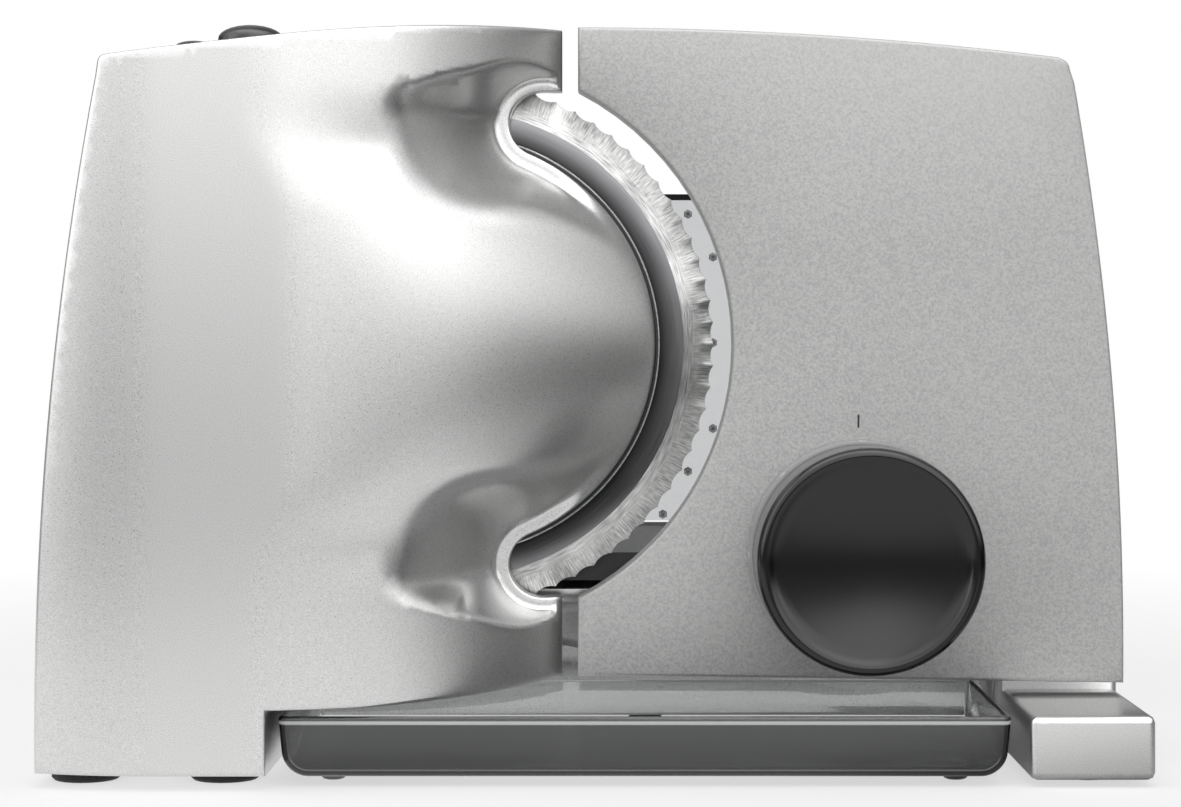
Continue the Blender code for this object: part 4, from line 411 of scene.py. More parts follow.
def blade_finish(name, dark, light, rough, across, along, lift, lean=0.0, shade=1.0, smear=0.0):
    """Ground steel with streaks round the axle: across and along are a streak's width and length in mm.

    Lean is the slope of the grinding marks away from the axle, shade is the share of the colour left close to
    the lip, a painted shade for the lip's dark wall mirrored in the blade, and smear is how far the streaks
    draw a reflection out, away from the axle.
    """
    made, tree, place = start_finish(name)
    centred = add_node(tree, "Mapping", {"Vector": place, "Location": (-BLADE_X, 0, -BLADE_Z)})
    x, _, z = split(tree, centred.outputs["Vector"])
    radius = calc(tree, "SQRT", calc(tree, "MULTIPLY_ADD", z, z, product(tree, x, x)))
    angle = calc(tree, "ARCTAN2", z, x)

    def streaks_of(outward, round_it, detail):
        """Streaks this many millimetres long outwards and round the blade."""
        polar = add_node(tree, "CombineXYZ", {
            0: product(tree, radius, 1000 / outward),
            1: product(tree, angle, RIM_MM / round_it),
        })
        return noise(tree, polar.outputs[0], 1.0, detail)

    streaks = between(tree, spread(tree, radius, STREAKS_TURN, STREAKS_TURNED),
                      streaks_of(across, along, 3.0), streaks_of(*TOOTH_STREAK, 2.0))
    clouded = calc(tree, "MULTIPLY_ADD", noise(tree, place, 60.0, 1.0), 0.5, streaks)
    base = blend(tree, spread(tree, clouded, 0.52, 0.98), colour(dark), colour(light))
    # Painted shade: close to the lip the colour is darkened, for the lip's dark wall mirrored in the blade.
    base = blend(tree, 1.0, base, spread(tree, radius, LIP_SHADE_RADIUS, CLEAR_OF_LIP_SHADE, shade, 1.0), "MULTIPLY")
    marks = calc(tree, "MULTIPLY_ADD", radius, -lean, product(tree, streaks, lift / 1000))
    away = add_node(tree, "CombineXYZ", {"X": x, "Z": z}).outputs[0]
    away = add_node(tree, "VectorTransform", {0: away}, convert_from="OBJECT", convert_to="WORLD")
    end_finish(tree, base, spread(tree, streaks, 0, 1, *rough), marks, 1.0,
               Tangent=away.outputs[0], Anisotropic=smear, Metallic=1.0)
    return made


# The polished side keeps a tenth of its colour close to the lip: a painted shade.
polished_steel = blade_finish(
    "polished blade steel", "#6a6a6c", "#7c7c7d", (0.12, 0.20), 0.30, 25, 0.001, shade=0.10,
)
ground_steel = blade_finish(
    "ground blade bevel", "#808080", "#d8d8d7", (0.26, 0.34), 0.45, 6, 0.008, lean=0.15, smear=1.0,
)
rear_steel = blade_finish("brushed blade back", "#8c8c8d", "#a2a2a3", (0.18, 0.28), 0.30, 25, 0.001)
print("blade steel ready")

# %% [markdown]
# The housing is the largest piece. Its front swells out of a thin lip round the blade into a deep, flat belly
# on the left, like a hand cupped over the hub, and two tabs reach past the blade above and below. Such a skin
# is no stack of primitives. It is a height field: for each point inside the outline one depth is worked out,
# and the points are joined by a Delaunay net, denser where the skin bends hard beside the blade.

# %% Numbers of the housing
HALF_WIDTH = 0.168
PLANE_Y, LIP_RIM_Y, WALL_RIM_Y = -0.0485, -0.0490, -0.0482
LIP_DEPTH, BELLY_DEPTH, LIP_RADIUS = 0.008, 0.064, 0.0658
SLOT_TURN, END_RADIUS, END_MIDDLE = 66.8, 0.0104, 0.0762
END_ANGLE = math.radians(SLOT_TURN)
END_X, END_HEIGHT = BLADE_X + END_MIDDLE * math.cos(END_ANGLE), END_MIDDLE * math.sin(END_ANGLE)
TAB_X, TAB_TOP_Z, LIMIT_SOFTNESS = -0.0110, 0.2324, 0.012
SKIRT_Z, SKIRT_DROP, COLUMN_X, HOUSING_LOW_Z = 0.0268, 0.0033, -0.098, 0.004
LEFT_BOW, LEFT_BOW_Z, TOP_BOW, TOP_SLOPE = 1.005, 0.016, 2.94, 0.0765
CORNER_Z, CORNER_RADIUS = 0.2155, 0.0024
ROLL_EDGE_X, ROLL_MIDDLE_X = -0.110, -0.095
EDGE_POWER, MIDDLE_POWER = 2.7, 2.0
BLEND_LOW, BLEND_HIGH = 0.040, 0.078
COLLAR_WIDTH, COLLAR_STEEPNESS, TAB_STEEPNESS, COLLAR_SOFTNESS = 0.0045, 1.7, 5.0, 0.006
COLLAR_START, COLLAR_FULL = 0.030, 0.052
FLANK_X, FLANK_DROP = -0.130, 0.006


def smooth_step(share):
    share = min(max(share, 0.0), 1.0)
    return share * share * (3 - 2 * share)


def soft_least(first, second, softness):
    """The lesser of two values, rounded off where they meet."""
    share = min(max(0.5 + 0.5 * (second - first) / softness, 0), 1)
    return second * (1 - share) + first * share - softness * share * (1 - share)


def soft_hinge(value, radius=0.0010):
    """Nought below nought and the value above it, rounded off in between."""
    return max(value, 0.0) if abs(value) > radius else (value + radius) ** 2 / (4 * radius)


def housing_left(z):
    return -HALF_WIDTH + (z - LEFT_BOW_Z) ** 2 / (2 * LEFT_BOW)


def housing_top(x):
    return TAB_TOP_Z - TOP_SLOPE * (TAB_X - x) - (x - TAB_X) ** 2 / (2 * TOP_BOW)


def right_limit(z):
    """Where the belly's roll would have come down to the lip at this height, if there were no slot."""
    height = abs(z - BLADE_Z)
    round_x = BLADE_X + math.sqrt(max(LIP_RADIUS**2 - height**2, 0.0))
    return -soft_least(-round_x, -TAB_X, LIMIT_SOFTNESS)


def slot_distance(x, z):
    """How far a point of the skin is from the slot that the blade shows through."""
    height = abs(z - BLADE_Z)
    along = math.atan2(height, x - BLADE_X)
    if along < END_ANGLE:
        return max(0.0, LIP_RADIUS - math.hypot(x - BLADE_X, height)) if x > BLADE_X else 1.0
    if x > END_X and height > END_HEIGHT:
        return max(0.0, height - END_HEIGHT - END_RADIUS)
    return max(0.0, math.hypot(x - END_X, height - END_HEIGHT) - END_RADIUS)


def skin_y(x, z):
    """The front skin's place along Y: the belly's roll, the collar beside the slot, and the left flank."""
    height = abs(z - BLADE_Z)
    edge_share = smooth_step((height - BLEND_LOW) / (BLEND_HIGH - BLEND_LOW))
    roll_end_x = ROLL_MIDDLE_X + edge_share * (ROLL_EDGE_X - ROLL_MIDDLE_X)
    limit = right_limit(z)
    share = min(max((limit - x) / (limit - roll_end_x), 0), 1)
    edge_rise, middle_rise = 1 - (1 - share) ** EDGE_POWER, 1 - (1 - share) ** MIDDLE_POWER
    rise = middle_rise + edge_share * (edge_rise - middle_rise)
    depth = LIP_DEPTH + (BELLY_DEPTH - LIP_DEPTH) * rise
    collar_share = smooth_step((height - COLLAR_START) / (COLLAR_FULL - COLLAR_START))
    over = height - END_HEIGHT
    lean = max(0.0, over) / max(math.hypot(min(x - END_X, 0.0), over), 0.0003)
    steepness = COLLAR_STEEPNESS + smooth_step(lean) * (TAB_STEEPNESS - COLLAR_STEEPNESS)
    wall = LIP_DEPTH + steepness * soft_hinge(slot_distance(x, z) - COLLAR_WIDTH)
    depth += collar_share * (soft_least(depth, wall, COLLAR_SOFTNESS) - depth)
    if x < FLANK_X:
        depth -= FLANK_DROP * ((FLANK_X - x) / (FLANK_X + HALF_WIDTH)) ** 2
    return PLANE_Y - depth


print("belly at", round(skin_y(-0.12, BLADE_Z), 4), "lip at", round(skin_y(0.0180, BLADE_Z), 4))

# %% [markdown]
# The outline is walked once round, anticlockwise. Cast edges are never sharp: each is a small quarter round.
# So the outline is drawn again a few times, each time a little further in and a little further forward, and
# these rows are joined like the hoops of a barrel before the net closes the middle. At the tabs' ends the
# round is wider, a slanting strip two millimetres across that catches the light, and beside the slot it is
# slim.

# %% Outline of the housing
SLOT_ROUND, EDGE_ROUND, TAB_ROUND = 0.0007, 0.0013, 0.0019


def walk(start, end, count):
    return [start + (end - start) * at / count for at in range(count)]


def arc(middle_x, middle_z, radius, start, end, count):
    """Points on a circle from one angle to another, in degrees, without the last point."""
    angles = [math.radians(angle) for angle in walk(start, end, count)]
    return [(middle_x + radius * math.cos(angle), middle_z + radius * math.sin(angle)) for angle in angles]


def housing_outline():
    """Corners of the outline with the width of the edge's round at each."""
    corner_x = housing_left(CORNER_Z)
    round_x, round_z = corner_x + CORNER_RADIUS, housing_top(corner_x + 0.0022) - CORNER_RADIUS
    upper, lower = BLADE_Z + END_HEIGHT, BLADE_Z - END_HEIGHT
    skirt = [(TAB_X + (COLUMN_X - TAB_X) * share, SKIRT_Z - SKIRT_DROP * (1 - (1 - share) ** 2))
             for share in walk(0, 1, 40)]
    runs = [
        ([(housing_left(z), z) for z in walk(HOUSING_LOW_Z, CORNER_Z, 70)], EDGE_ROUND),
        (arc(round_x, round_z, CORNER_RADIUS, 180, 90, 4), EDGE_ROUND),
        ([(x, housing_top(x)) for x in walk(round_x, TAB_X, 62)], EDGE_ROUND),
        ([(TAB_X, z) for z in walk(TAB_TOP_Z, upper + END_RADIUS, 12)], TAB_ROUND),
        ([(x, upper + END_RADIUS) for x in walk(TAB_X, END_X, 4)], SLOT_ROUND),
        (arc(END_X, upper, END_RADIUS, 90, 180 + SLOT_TURN, 34), SLOT_ROUND),
        (arc(BLADE_X, BLADE_Z, LIP_RADIUS, SLOT_TURN, -SLOT_TURN, 110), SLOT_ROUND),
        (arc(END_X, lower, END_RADIUS, 180 - SLOT_TURN, 270, 34), SLOT_ROUND),
        ([(x, lower - END_RADIUS) for x in walk(END_X, TAB_X, 4)], SLOT_ROUND),
        ([(TAB_X, z) for z in walk(lower - END_RADIUS, SKIRT_Z, 12)], TAB_ROUND),
        (skirt, EDGE_ROUND),
        ([(COLUMN_X, z) for z in walk(SKIRT_Z - SKIRT_DROP, HOUSING_LOW_Z, 8)], EDGE_ROUND),
        ([(x, HOUSING_LOW_Z) for x in walk(COLUMN_X, housing_left(HOUSING_LOW_Z), 24)], EDGE_ROUND),
    ]
    return [(x, z, width) for points, width in runs for x, z in points][::-1]


def drawn_in(corners, share):
    """The outline moved inwards by a share of each corner's round."""
    moved = []
    for at, (x, z, width) in enumerate(corners):
        before, after = corners[at - 1], corners[(at + 1) % len(corners)]
        first = Vector((x - before[0], z - before[1])).normalized()
        second = Vector((after[0] - x, after[1] - z)).normalized()
        inward = Vector((-first.y - second.y, first.x + second.x)).normalized()
        reach = width * share / max(0.5, inward.dot(Vector((-second.y, second.x))))
        moved.append((x + inward.x * reach, z + inward.y * reach))
    return moved


outline = housing_outline()
area = sum(a[0] * b[1] - b[0] * a[1] for a, b in zip(outline, outline[1:] + outline[:1])) / 2
print(len(outline), "corners round", round(area * 1e4, 1), "square centimetres")

# %% [markdown]
# The middle of the skin is filled with points: on rows that run beside the slot, so that the net's edges
# follow its collar, and on triangular lattices that grow coarser away from it. A Delaunay net then joins
# them.

# %% Points and nets
ROUND_STEPS, ROW_PITCH, ROW_COUNT = 5, 0.0009, 15
FINE_END, NEAR_END, CLOSEST = EDGE_ROUND + ROW_PITCH * ROW_COUNT, 0.030, 0.0007


def inside(point, loop):
    """Whether a point lies inside a closed line."""
    x, z = point
    within = False
    for (ax, az), (bx, bz) in zip(loop, loop[1:] + loop[:1]):
        if (az > z) != (bz > z) and x < ax + (z - az) * (bx - ax) / (bz - az):
            within = not within
    return within


def net(loop, extra):
    """Triangles that fill a closed line, through extra points inside it."""
    points = [Vector(point) for point in loop] + [Vector(point) for point in extra]
    ring = [(at, (at + 1) % len(loop)) for at in range(len(loop))]
    filled = geometry.delaunay_2d_cdt(points, ring, [list(range(len(loop)))], 1, 1e-7)
    return filled[0], filled[2]


def lattice(loop, pitch, keep):
    """Points of a triangular lattice inside a closed line that pass the test."""
    low_x, high_x = min(p[0] for p in loop), max(p[0] for p in loop)
    low_z, high_z = min(p[1] for p in loop), max(p[1] for p in loop)
    found, row, z = [], 0, low_z
    while z < high_z:
        x = low_x + (row % 2) * pitch / 2
        while x < high_x:
            if keep(x, z) and inside((x, z), loop):
                found.append((x, z))
            x += pitch
        z += pitch * 0.866
        row += 1
    return found


def slot_near(x, z):
    """How far a point is from the slot's edge, on either side of it."""
    height = abs(z - BLADE_Z)
    from_end = math.hypot(x - END_X, height - END_HEIGHT) - END_RADIUS
    return min(from_end, abs(math.hypot(x - BLADE_X, height) - LIP_RADIUS) if x > BLADE_X else 1.0)


def slot_rows():
    """Points on lines that run beside the slot."""
    found = []
    for row in range(1, ROW_COUNT + 1):
        away = EDGE_ROUND + ROW_PITCH * row
        radius = END_RADIUS + away
        count = int(radius * math.radians(90 + SLOT_TURN) / 0.0012)
        beside = arc(END_X, END_HEIGHT, radius, 90, 180 + SLOT_TURN, count)
        found += [(x, BLADE_Z + side * height) for x, height in beside for side in (1, -1)]
        radius = LIP_RADIUS - away
        count = int(radius * math.radians(2 * SLOT_TURN) / 0.0013)
        found += arc(BLADE_X, BLADE_Z, radius, -SLOT_TURN, SLOT_TURN, count)
        height = END_HEIGHT + END_RADIUS + away
        along_tab = walk(END_X + 0.0009, TAB_X - 0.0028, 3)
        found += [(x, BLADE_Z + side * height) for x in along_tab for side in (1, -1)]
    return found


rings = []
for step in range(ROUND_STEPS + 1):
    lean = math.pi / 2 * step / ROUND_STEPS
    ring = drawn_in(outline, 1 - math.cos(lean))
    rings.append([(x, skin_y(x, z) + width * (1 - math.sin(lean)), z)
                  for (x, z), (_, _, width) in zip(ring, outline)])
inner_loop = [(x, z) for x, _, z in rings[-1]]
fine = [point for point in slot_rows() if inside(point, inner_loop)]
middling = lattice(inner_loop, 0.0017, lambda x, z: FINE_END + 0.0010 < slot_near(x, z) < NEAR_END)
coarse = lattice(inner_loop, 0.0034, lambda x, z: slot_near(x, z) >= NEAR_END)
edge_points = [Vector(point) for point in inner_loop]
fill = [point for point in fine + middling + coarse
        if min((Vector(point) - edge).length_squared for edge in edge_points) > CLOSEST**2]
flat_points, triangles = net(inner_loop, fill)
print(len(fine), "points beside the slot,", len(middling), "near it and", len(coarse), "further out")

# %% [markdown]
# Now the skin is assembled: the net in the middle, rows round the edge, and walls back to the rim. Where the
# two buttons come through the top wall, the wall is a small net of its own with two oval holes. Solidify then
# gives the shell the thickness of a casting.

# %% Front housing
BESIDE, BUTTON_GAP, BUTTON_MARGIN = 0.0002, 0.0003, 0.004


def rim_y(x, z):
    """How far back the wall reaches: a little less far beside the slot."""
    beside = slot_near(x, z) < BESIDE and x < TAB_X + 0.0005
    return LIP_RIM_Y if beside or math.hypot(x - BLADE_X, z - BLADE_Z) < LIP_RADIUS + BESIDE else WALL_RIM_Y


skin = bpy.data.meshes.new("housing_shell")
shell = bmesh.new()
middle = [shell.verts.new((p.x, skin_y(p.x, p.y), p.y)) for p in flat_points]
for corners in triangles:
    shell.faces.new([middle[at] for at in corners])
rows = [[shell.verts.new(place) for place in ring] for ring in rings[:-1]] + [middle[:len(outline)]]
feet = [shell.verts.new((x, rim_y(x, z), z)) for x, z, _ in outline]
for first, second in zip(rows, rows[1:]):
    for at in range(len(outline)):
        shell.faces.new((first[at], first[at - 1], second[at - 1], second[at]))

button_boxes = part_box("lock_button"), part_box("power_button")
left_end, right_end = button_boxes[0][0].x - BUTTON_MARGIN, button_boxes[1][1].x + BUTTON_MARGIN
top_wall = [at for at, (x, z, _) in enumerate(outline) if z > 0.21 and left_end < x < right_end]
for at in range(len(outline)):
    if at not in top_wall or (at - 1) not in top_wall:
        shell.faces.new((rows[0][at - 1], rows[0][at], feet[at], feet[at - 1]))
wall_loop = [rows[0][at] for at in top_wall] + [feet[at] for at in top_wall][::-1]
ovals = []
for low, high in button_boxes:
    centre, size = middle_and_size(low, high)
    ovals.append([(centre[0] + (size[0] / 2 + BUTTON_GAP) * x, centre[1] + (size[1] / 2 + BUTTON_GAP) * y)
                  for x, y in arc(0, 0, 1, 0, 360, 48)])
wall_flat = [(corner.co.x, corner.co.y) for corner in wall_loop]
wall_points, wall_faces = net(wall_flat, [point for oval in ovals for point in oval])
wall_corners = wall_loop + [
    shell.verts.new((point.x, point.y, housing_top(point.x))) for point in wall_points[len(wall_loop):]
]
for corners in wall_faces:
    centre = sum((Vector(wall_points[at]) for at in corners), Vector((0, 0))) / len(corners)
    if not any(inside(centre, oval) for oval in ovals):
        shell.faces.new([wall_corners[at] for at in corners])
bmesh.ops.recalc_face_normals(shell, faces=shell.faces)
shell.to_mesh(skin)
shell.free()
housing = bpy.data.objects.new("housing_shell", skin)
bpy.context.scene.collection.objects.link(housing)
facing = sum(face.normal.y for face in skin.polygons if abs(face.normal.y) > 0.8)
print("the front faces", "the camera" if facing < 0 else "away", "before Solidify")
if facing > 0:
    skin.flip_normals()
modify(housing, "SOLIDIFY", thickness=0.0012, offset=-1.0, use_even_offset=False)
hand_over(housing, "base", silver_lacquer, "silver_paint", "front_housing", smooth=40)

# %% [markdown]
# Between the lip and the blade sits a thin black ring with a fine steel bead along its outer edge. They make a
# dark groove with one bright line, where the polished blade mirrors the lip's shadowed wall and its rim: a
# painted shade and a painted highlight, made as pieces. Both are profiles turned round the axle.

# %% Lip ring
# Painted shade made as a piece: a black ring in the groove beside the lip.
lip_ring = turn("lip_ring", [
    (0.0640, -0.0492), (0.0655, -0.0492), (0.0655, -0.0488), (0.0660, -0.0487), (0.0670, -0.0487),
    (0.0672, -0.0489), (0.0670, -0.0491), (0.0664, -0.0491), (0.0662, -0.0494), (0.0640, -0.0494),
][::-1], (BLADE_X, BLADE_Z), steps=160)
hand_over(lip_ring, "base", satin_black, "dark_plastic")
# Painted highlight made as a piece: a steel bead for the lip's mirrored rim.
bead = turn("lip_highlight_bead", arc(0.0673, -0.0491, 0.0003, 0, 360, 10), (BLADE_X, BLADE_Z), steps=160)
hand_over(bead, "base", facing_steel, "dark_plastic")

# %% [markdown]
# The blade: a disc a millimetre thick whose rim is ground to a bevel ten millimetres wide and then cut into
# seventy-six shallow scallops. One cross-section is turned into the disc with twelve steps to the tooth, and
# then every vertex near the rim is drawn in by how deep the scallop is at its angle. The grinding wheel also
# bites into the bevel behind each scallop, so the same bite fades out inwards.

# %% Blade
BLADE_FRONT, BLADE_BACK, TOOTH_COUNT, TOOTH_DEPTH = -0.0482, -0.0472, 76, 0.0011
TOOTH_ROOT, BITE_START, BITE_REACH, BITE_DEPTH = 0.0795, 0.0808, 0.0025, 0.00006
POLISH_RADIUS, BEFORE_BACK = 0.0751, BLADE_BACK - 0.0001
section = [
    (0.0090, BLADE_BACK), (0.0090, BLADE_FRONT), (0.0640, BLADE_FRONT), (0.0700, BLADE_FRONT),
    (0.0748, BLADE_FRONT), (0.0752, -0.04817), (0.0775, -0.04802), (0.0800, -0.04785), (0.0815, -0.04775),
    (0.0828, -0.04766), (0.0838, -0.04759), (0.0845, -0.04754), (0.0849, -0.04750), (0.0850, -0.04742),
    (0.0850, -0.04725), (0.0848, BLADE_BACK), (0.0800, BLADE_BACK),
]
blade = turn("toothed_blade", section, (BLADE_X, BLADE_Z), steps=TOOTH_COUNT * 12)
for corner in blade.data.vertices:
    across, up = corner.co.x - BLADE_X, corner.co.z - BLADE_Z
    radius = math.hypot(across, up)
    if radius > TOOTH_ROOT:
        tooth = ((math.atan2(up, across) / (2 * math.pi) + 1) * TOOTH_COUNT) % 1
        bite = math.sin(math.pi * tooth) ** 0.8
        pulled = radius - TOOTH_DEPTH * bite * smooth_step((radius - TOOTH_ROOT) / (BLADE_RADIUS - TOOTH_ROOT))
        corner.co.x = BLADE_X + across * pulled / radius
        corner.co.z = BLADE_Z + up * pulled / radius
        if corner.co.y < BEFORE_BACK:
            corner.co.y += BITE_DEPTH * bite * smooth_step((radius - BITE_START) / BITE_REACH)
hand_over(blade, "blade", ground_steel, "blade_steel", "blade_disc", smooth=30)
blade.data.materials.append(polished_steel)
blade.data.materials.append(rear_steel)
for face in blade.data.polygons:
    if face.center.y > BEFORE_BACK:
        face.material_index = 2
    elif math.hypot(face.center.x - BLADE_X, face.center.z - BLADE_Z) < POLISH_RADIUS:
        face.material_index = 1

# %% [markdown]
# The stop plate is a flat pressed cover with a soft edge all round, hollow behind. Its outline is drawn,
# pushed forward into a wall, closed with a face and given its soft edge with Bevel, whose four segments make
# a true quarter round. Solidify makes the wall.

# %% Stop plate
PLATE_LEFT, PLATE_RIGHT, PLATE_TOP, PLATE_FRONT, PLATE_RIM = -0.0058, 0.1671, 0.233, -0.0595, -0.0490
RIGHT_BOW, RIGHT_BOW_Z, PLATE_TOP_BOW, PLATE_CORNER_Z = 1.044, 0.035, 1.2225, 0.2233
OPENING_RADIUS, PLATE_CORNER = 0.0905, 0.0035


def plate_right(z):
    return PLATE_RIGHT - (z - RIGHT_BOW_Z) ** 2 / (2 * RIGHT_BOW)


def plate_top(x):
    return PLATE_TOP - (x - PLATE_LEFT) ** 2 / (2 * PLATE_TOP_BOW)


def plate_outline():
    opening = math.degrees(math.acos((PLATE_LEFT - BLADE_X) / OPENING_RADIUS))
    corner_x = plate_right(PLATE_CORNER_Z)
    round_x, round_z = corner_x - PLATE_CORNER, plate_top(corner_x) - PLATE_CORNER
    points = [(PLATE_LEFT, 0.0276), (0.060, 0.02685), (0.120, 0.0260)]
    points += [(plate_right(z), z) for z in walk(0.0253, round_z, 48)]
    points += arc(round_x, round_z, PLATE_CORNER, 0, 90, 5)
    points += [(x, plate_top(x)) for x in walk(round_x, PLATE_LEFT, 48)]
    points.append((PLATE_LEFT, plate_top(PLATE_LEFT)))
    points += arc(BLADE_X, BLADE_Z, OPENING_RADIUS, opening, -opening, 72)
    return points + arc(BLADE_X, BLADE_Z, OPENING_RADIUS, -opening, opening, 1)


plate = trace("stop_plate_shell", [Vector((x, PLATE_RIM, z)) for x, z in plate_outline()], closed=True)
choose_all()
extrude((0, PLATE_FRONT - PLATE_RIM, 0))
bpy.ops.mesh.edge_face_add()
choose("edges", lambda edge: all(corner.co.y < PLATE_FRONT + 1e-5 for corner in edge.verts))
bpy.ops.mesh.bevel(offset=0.0011, segments=4, profile=0.5)
face_outwards()
modify(plate, "SOLIDIFY", thickness=0.0018, offset=-1.0)
modify(plate, "TRIANGULATE", ngon_method="BEAUTY")
hand_over(plate, "stop_plate", structure_lacquer, "textured_paint", "stop_plate", smooth=35)

# %% [markdown]
# The dial's index is one short upright stroke printed above the knob. A print has next to no thickness: it is
# a bar with rounded ends, three hundredths of a millimetre proud of the lacquer.

# %% Index stroke
INDEX_X, INDEX_LOW, INDEX_HIGH, INDEX_HALF = 0.0830, 0.1064, 0.1100, 0.00034
INDEX_SUNK, INDEX_PROUD = 0.0004, 0.00003
index_points = arc(INDEX_X, INDEX_HIGH, INDEX_HALF, 0, 180, 6)
index_points += arc(INDEX_X, INDEX_LOW, INDEX_HALF, 180, 360, 6)
index = trace("index_stroke", [Vector((x, PLATE_FRONT + INDEX_SUNK, z)) for x, z in index_points], closed=True)
choose_all()
bpy.ops.mesh.edge_face_add()
extrude((0, -INDEX_SUNK - INDEX_PROUD, 0))
tidy()
hand_over(index, "stop_plate", mark_black, "black_plastic")

# %% [markdown]
# The knob is a cap of black plastic: a wall that leans in a little, a full round rim, and a dish in the front
# for the thumb. The whole character of a turned or moulded cap is in its profile, so it is drawn with care,
# from the middle of the dish over the rim and back along the inside, and turned round its axis.

# %% Thickness knob
KNOB_X, KNOB_Z, KNOB_FRONT = 0.0834, 0.0667, -0.1015
DISH_DEPTH, DISH_EDGE, DISH_RADIUS = 0.0036, 0.0011, 0.0300
CREST_RADIUS, CREST_WIDTH, CREST_HEIGHT = 0.0322, 0.0024, 0.0030
knob_profile = [(0.0, KNOB_FRONT + DISH_DEPTH)]
for share in (0.08, 0.2, 0.35, 0.5, 0.65, 0.78, 0.88, 0.95):
    dip = DISH_EDGE + (DISH_DEPTH - DISH_EDGE) * (1 - share**2) ** 1.1
    knob_profile.append((DISH_RADIUS * share, KNOB_FRONT + dip))
knob_profile += [(radius, KNOB_FRONT + dip) for radius, dip in (
    (0.02975, 0.00095), (0.0304, 0.00055), (0.0311, 0.00018),
)]
knob_profile += [(CREST_RADIUS + CREST_WIDTH * math.sin(lean), KNOB_FRONT + CREST_HEIGHT * (1 - math.cos(lean)))
                 for lean in walk(0, math.pi / 2, 9)]
knob_profile += [
    (0.0346, -0.0984), (0.0348, -0.0900), (0.0348, -0.0752), (0.0345, -0.0749), (0.0320, -0.0749),
    (0.0320, -0.0960), (0.0100, -0.0945), (0.0100, -0.0601), (0.0060, -0.0601), (0.0060, -0.0945),
    (0.0, -0.0945),
]
knob = turn("thickness_cap", knob_profile, (KNOB_X, KNOB_Z), steps=128)
hand_over(knob, "knob", knob_black, "black_plastic", "thickness_knob", smooth=40)

# %% [markdown]
# Behind the knob turns the grey ring with the thickness scale. Its marks are printed on the outer wall, one
# line for each step and a plain number at every third, each laid along the wall and lifted by a hair.

# %% Scale ring and its marks
RING_RADIUS, RING_FRONT, RING_REAR = 0.0355, -0.0751, -0.0601
MARK_COUNT, MARK_Y, NUMBER_COUNT, NUMBER_Y = 24, RING_REAR - 0.0035, 8, RING_FRONT + 0.0068
ring = turn("scale_band", [
    (0.0245, RING_REAR), (0.0245, RING_FRONT), (0.0351, RING_FRONT), (0.0354, RING_FRONT + 0.0001),
    (0.0355, RING_FRONT + 0.0005), (0.0355, RING_REAR - 0.0003), (0.0353, RING_REAR),
], (KNOB_X, KNOB_Z), steps=128)
hand_over(ring, "knob", scale_grey, "grey_plastic", "scale_ring")


def lay_round(piece, degrees, place):
    """Lay a piece on the ring: place turns a corner into its reach from the axis, its Y and its step aside."""
    angle = math.radians(degrees)
    for corner in piece.data.vertices:
        reach, y, aside = place(*corner.co)
        corner.co = (KNOB_X + reach * math.cos(angle) - aside * math.sin(angle), y,
                     KNOB_Z + reach * math.sin(angle) + aside * math.cos(angle))


stroke = begin("cube", "scale_marks", size=0.001, location=(RING_RADIUS, 0, 0))
choose_all()
bpy.ops.transform.resize(value=(0.12, 2.6, 0.34), center_override=(RING_RADIUS, 0, 0))
choose("edges", lambda edge: abs(edge.verts[0].co.x - edge.verts[1].co.x) > 5e-5)
bpy.ops.mesh.bevel(offset=0.00012, segments=2)
close()
marks = [copy_of("mark", stroke) for step in range(1, MARK_COUNT)]
for step, mark in enumerate([stroke] + marks):
    lay_round(mark, step * 360 / MARK_COUNT, lambda x, y, z: (x, MARK_Y + y, z))
for number in range(NUMBER_COUNT):
    bpy.ops.object.select_all(action="DESELECT")
    bpy.ops.object.text_add()
    digit = bpy.context.object
    digit.data.body = str(number * 3)
    digit.data.size = 0.0052
    digit.data.extrude = 0.00006
    digit.data.resolution_u = 3
    digit.data.align_x = "CENTER"
    bpy.ops.object.convert(target="MESH")
    lay_round(digit, 90 + number * 360 / NUMBER_COUNT, lambda x, y, z: (RING_RADIUS + z, NUMBER_Y - y, -x))
    marks.append(digit)
join(marks, stroke)
hand_over(stroke, "knob", mark_white, "grey_plastic")

# %% [markdown]
# The two buttons are low oval domes. Each starts as a cylinder, is squashed to its oval, and gets its dome by
# insetting the top face a few times and lifting it a little less each time.

# %% Buttons
DOME_STEPS = 7


def oval_button(name, node, dome):
    low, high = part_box(node)
    middle, (width, depth, height) = middle_and_size(low, high - Vector((0, 0, dome)))
    button = begin("cylinder", name, vertices=72, radius=width / 2, depth=height, location=middle)
    choose_all()
    bpy.ops.transform.resize(value=(1, depth / width, 1), center_override=middle)
    choose("faces", lambda face: face.normal.z > 0.9)
    for step in range(DOME_STEPS):
        lean, after = math.radians(90 * step / DOME_STEPS), math.radians(90 * (step + 1) / DOME_STEPS)
        shrink = (math.cos(after) + 0.02) / (math.cos(lean) + 0.02)
        extrude((0, 0, dome * (math.sin(after) - math.sin(lean))))
        bpy.ops.transform.resize(value=(shrink, shrink, 1), center_override=middle)
    tidy()
    hand_over(button, node, satin_black, "black_plastic", node, smooth=45)


oval_button("power_cap", "power_button", 0.0042)
oval_button("lock_cap", "lock_button", 0.0022)

# %% [markdown]
# The slice tray is a shallow tub. A cube is stretched to its size, the open top is deleted, the lower side
# edges get a wide round and the upright corners and the long lower edges a narrow one, all with Bevel.
# Solidify makes the wall, a last Bevel softens the rim, and four little feet are turned and joined on.

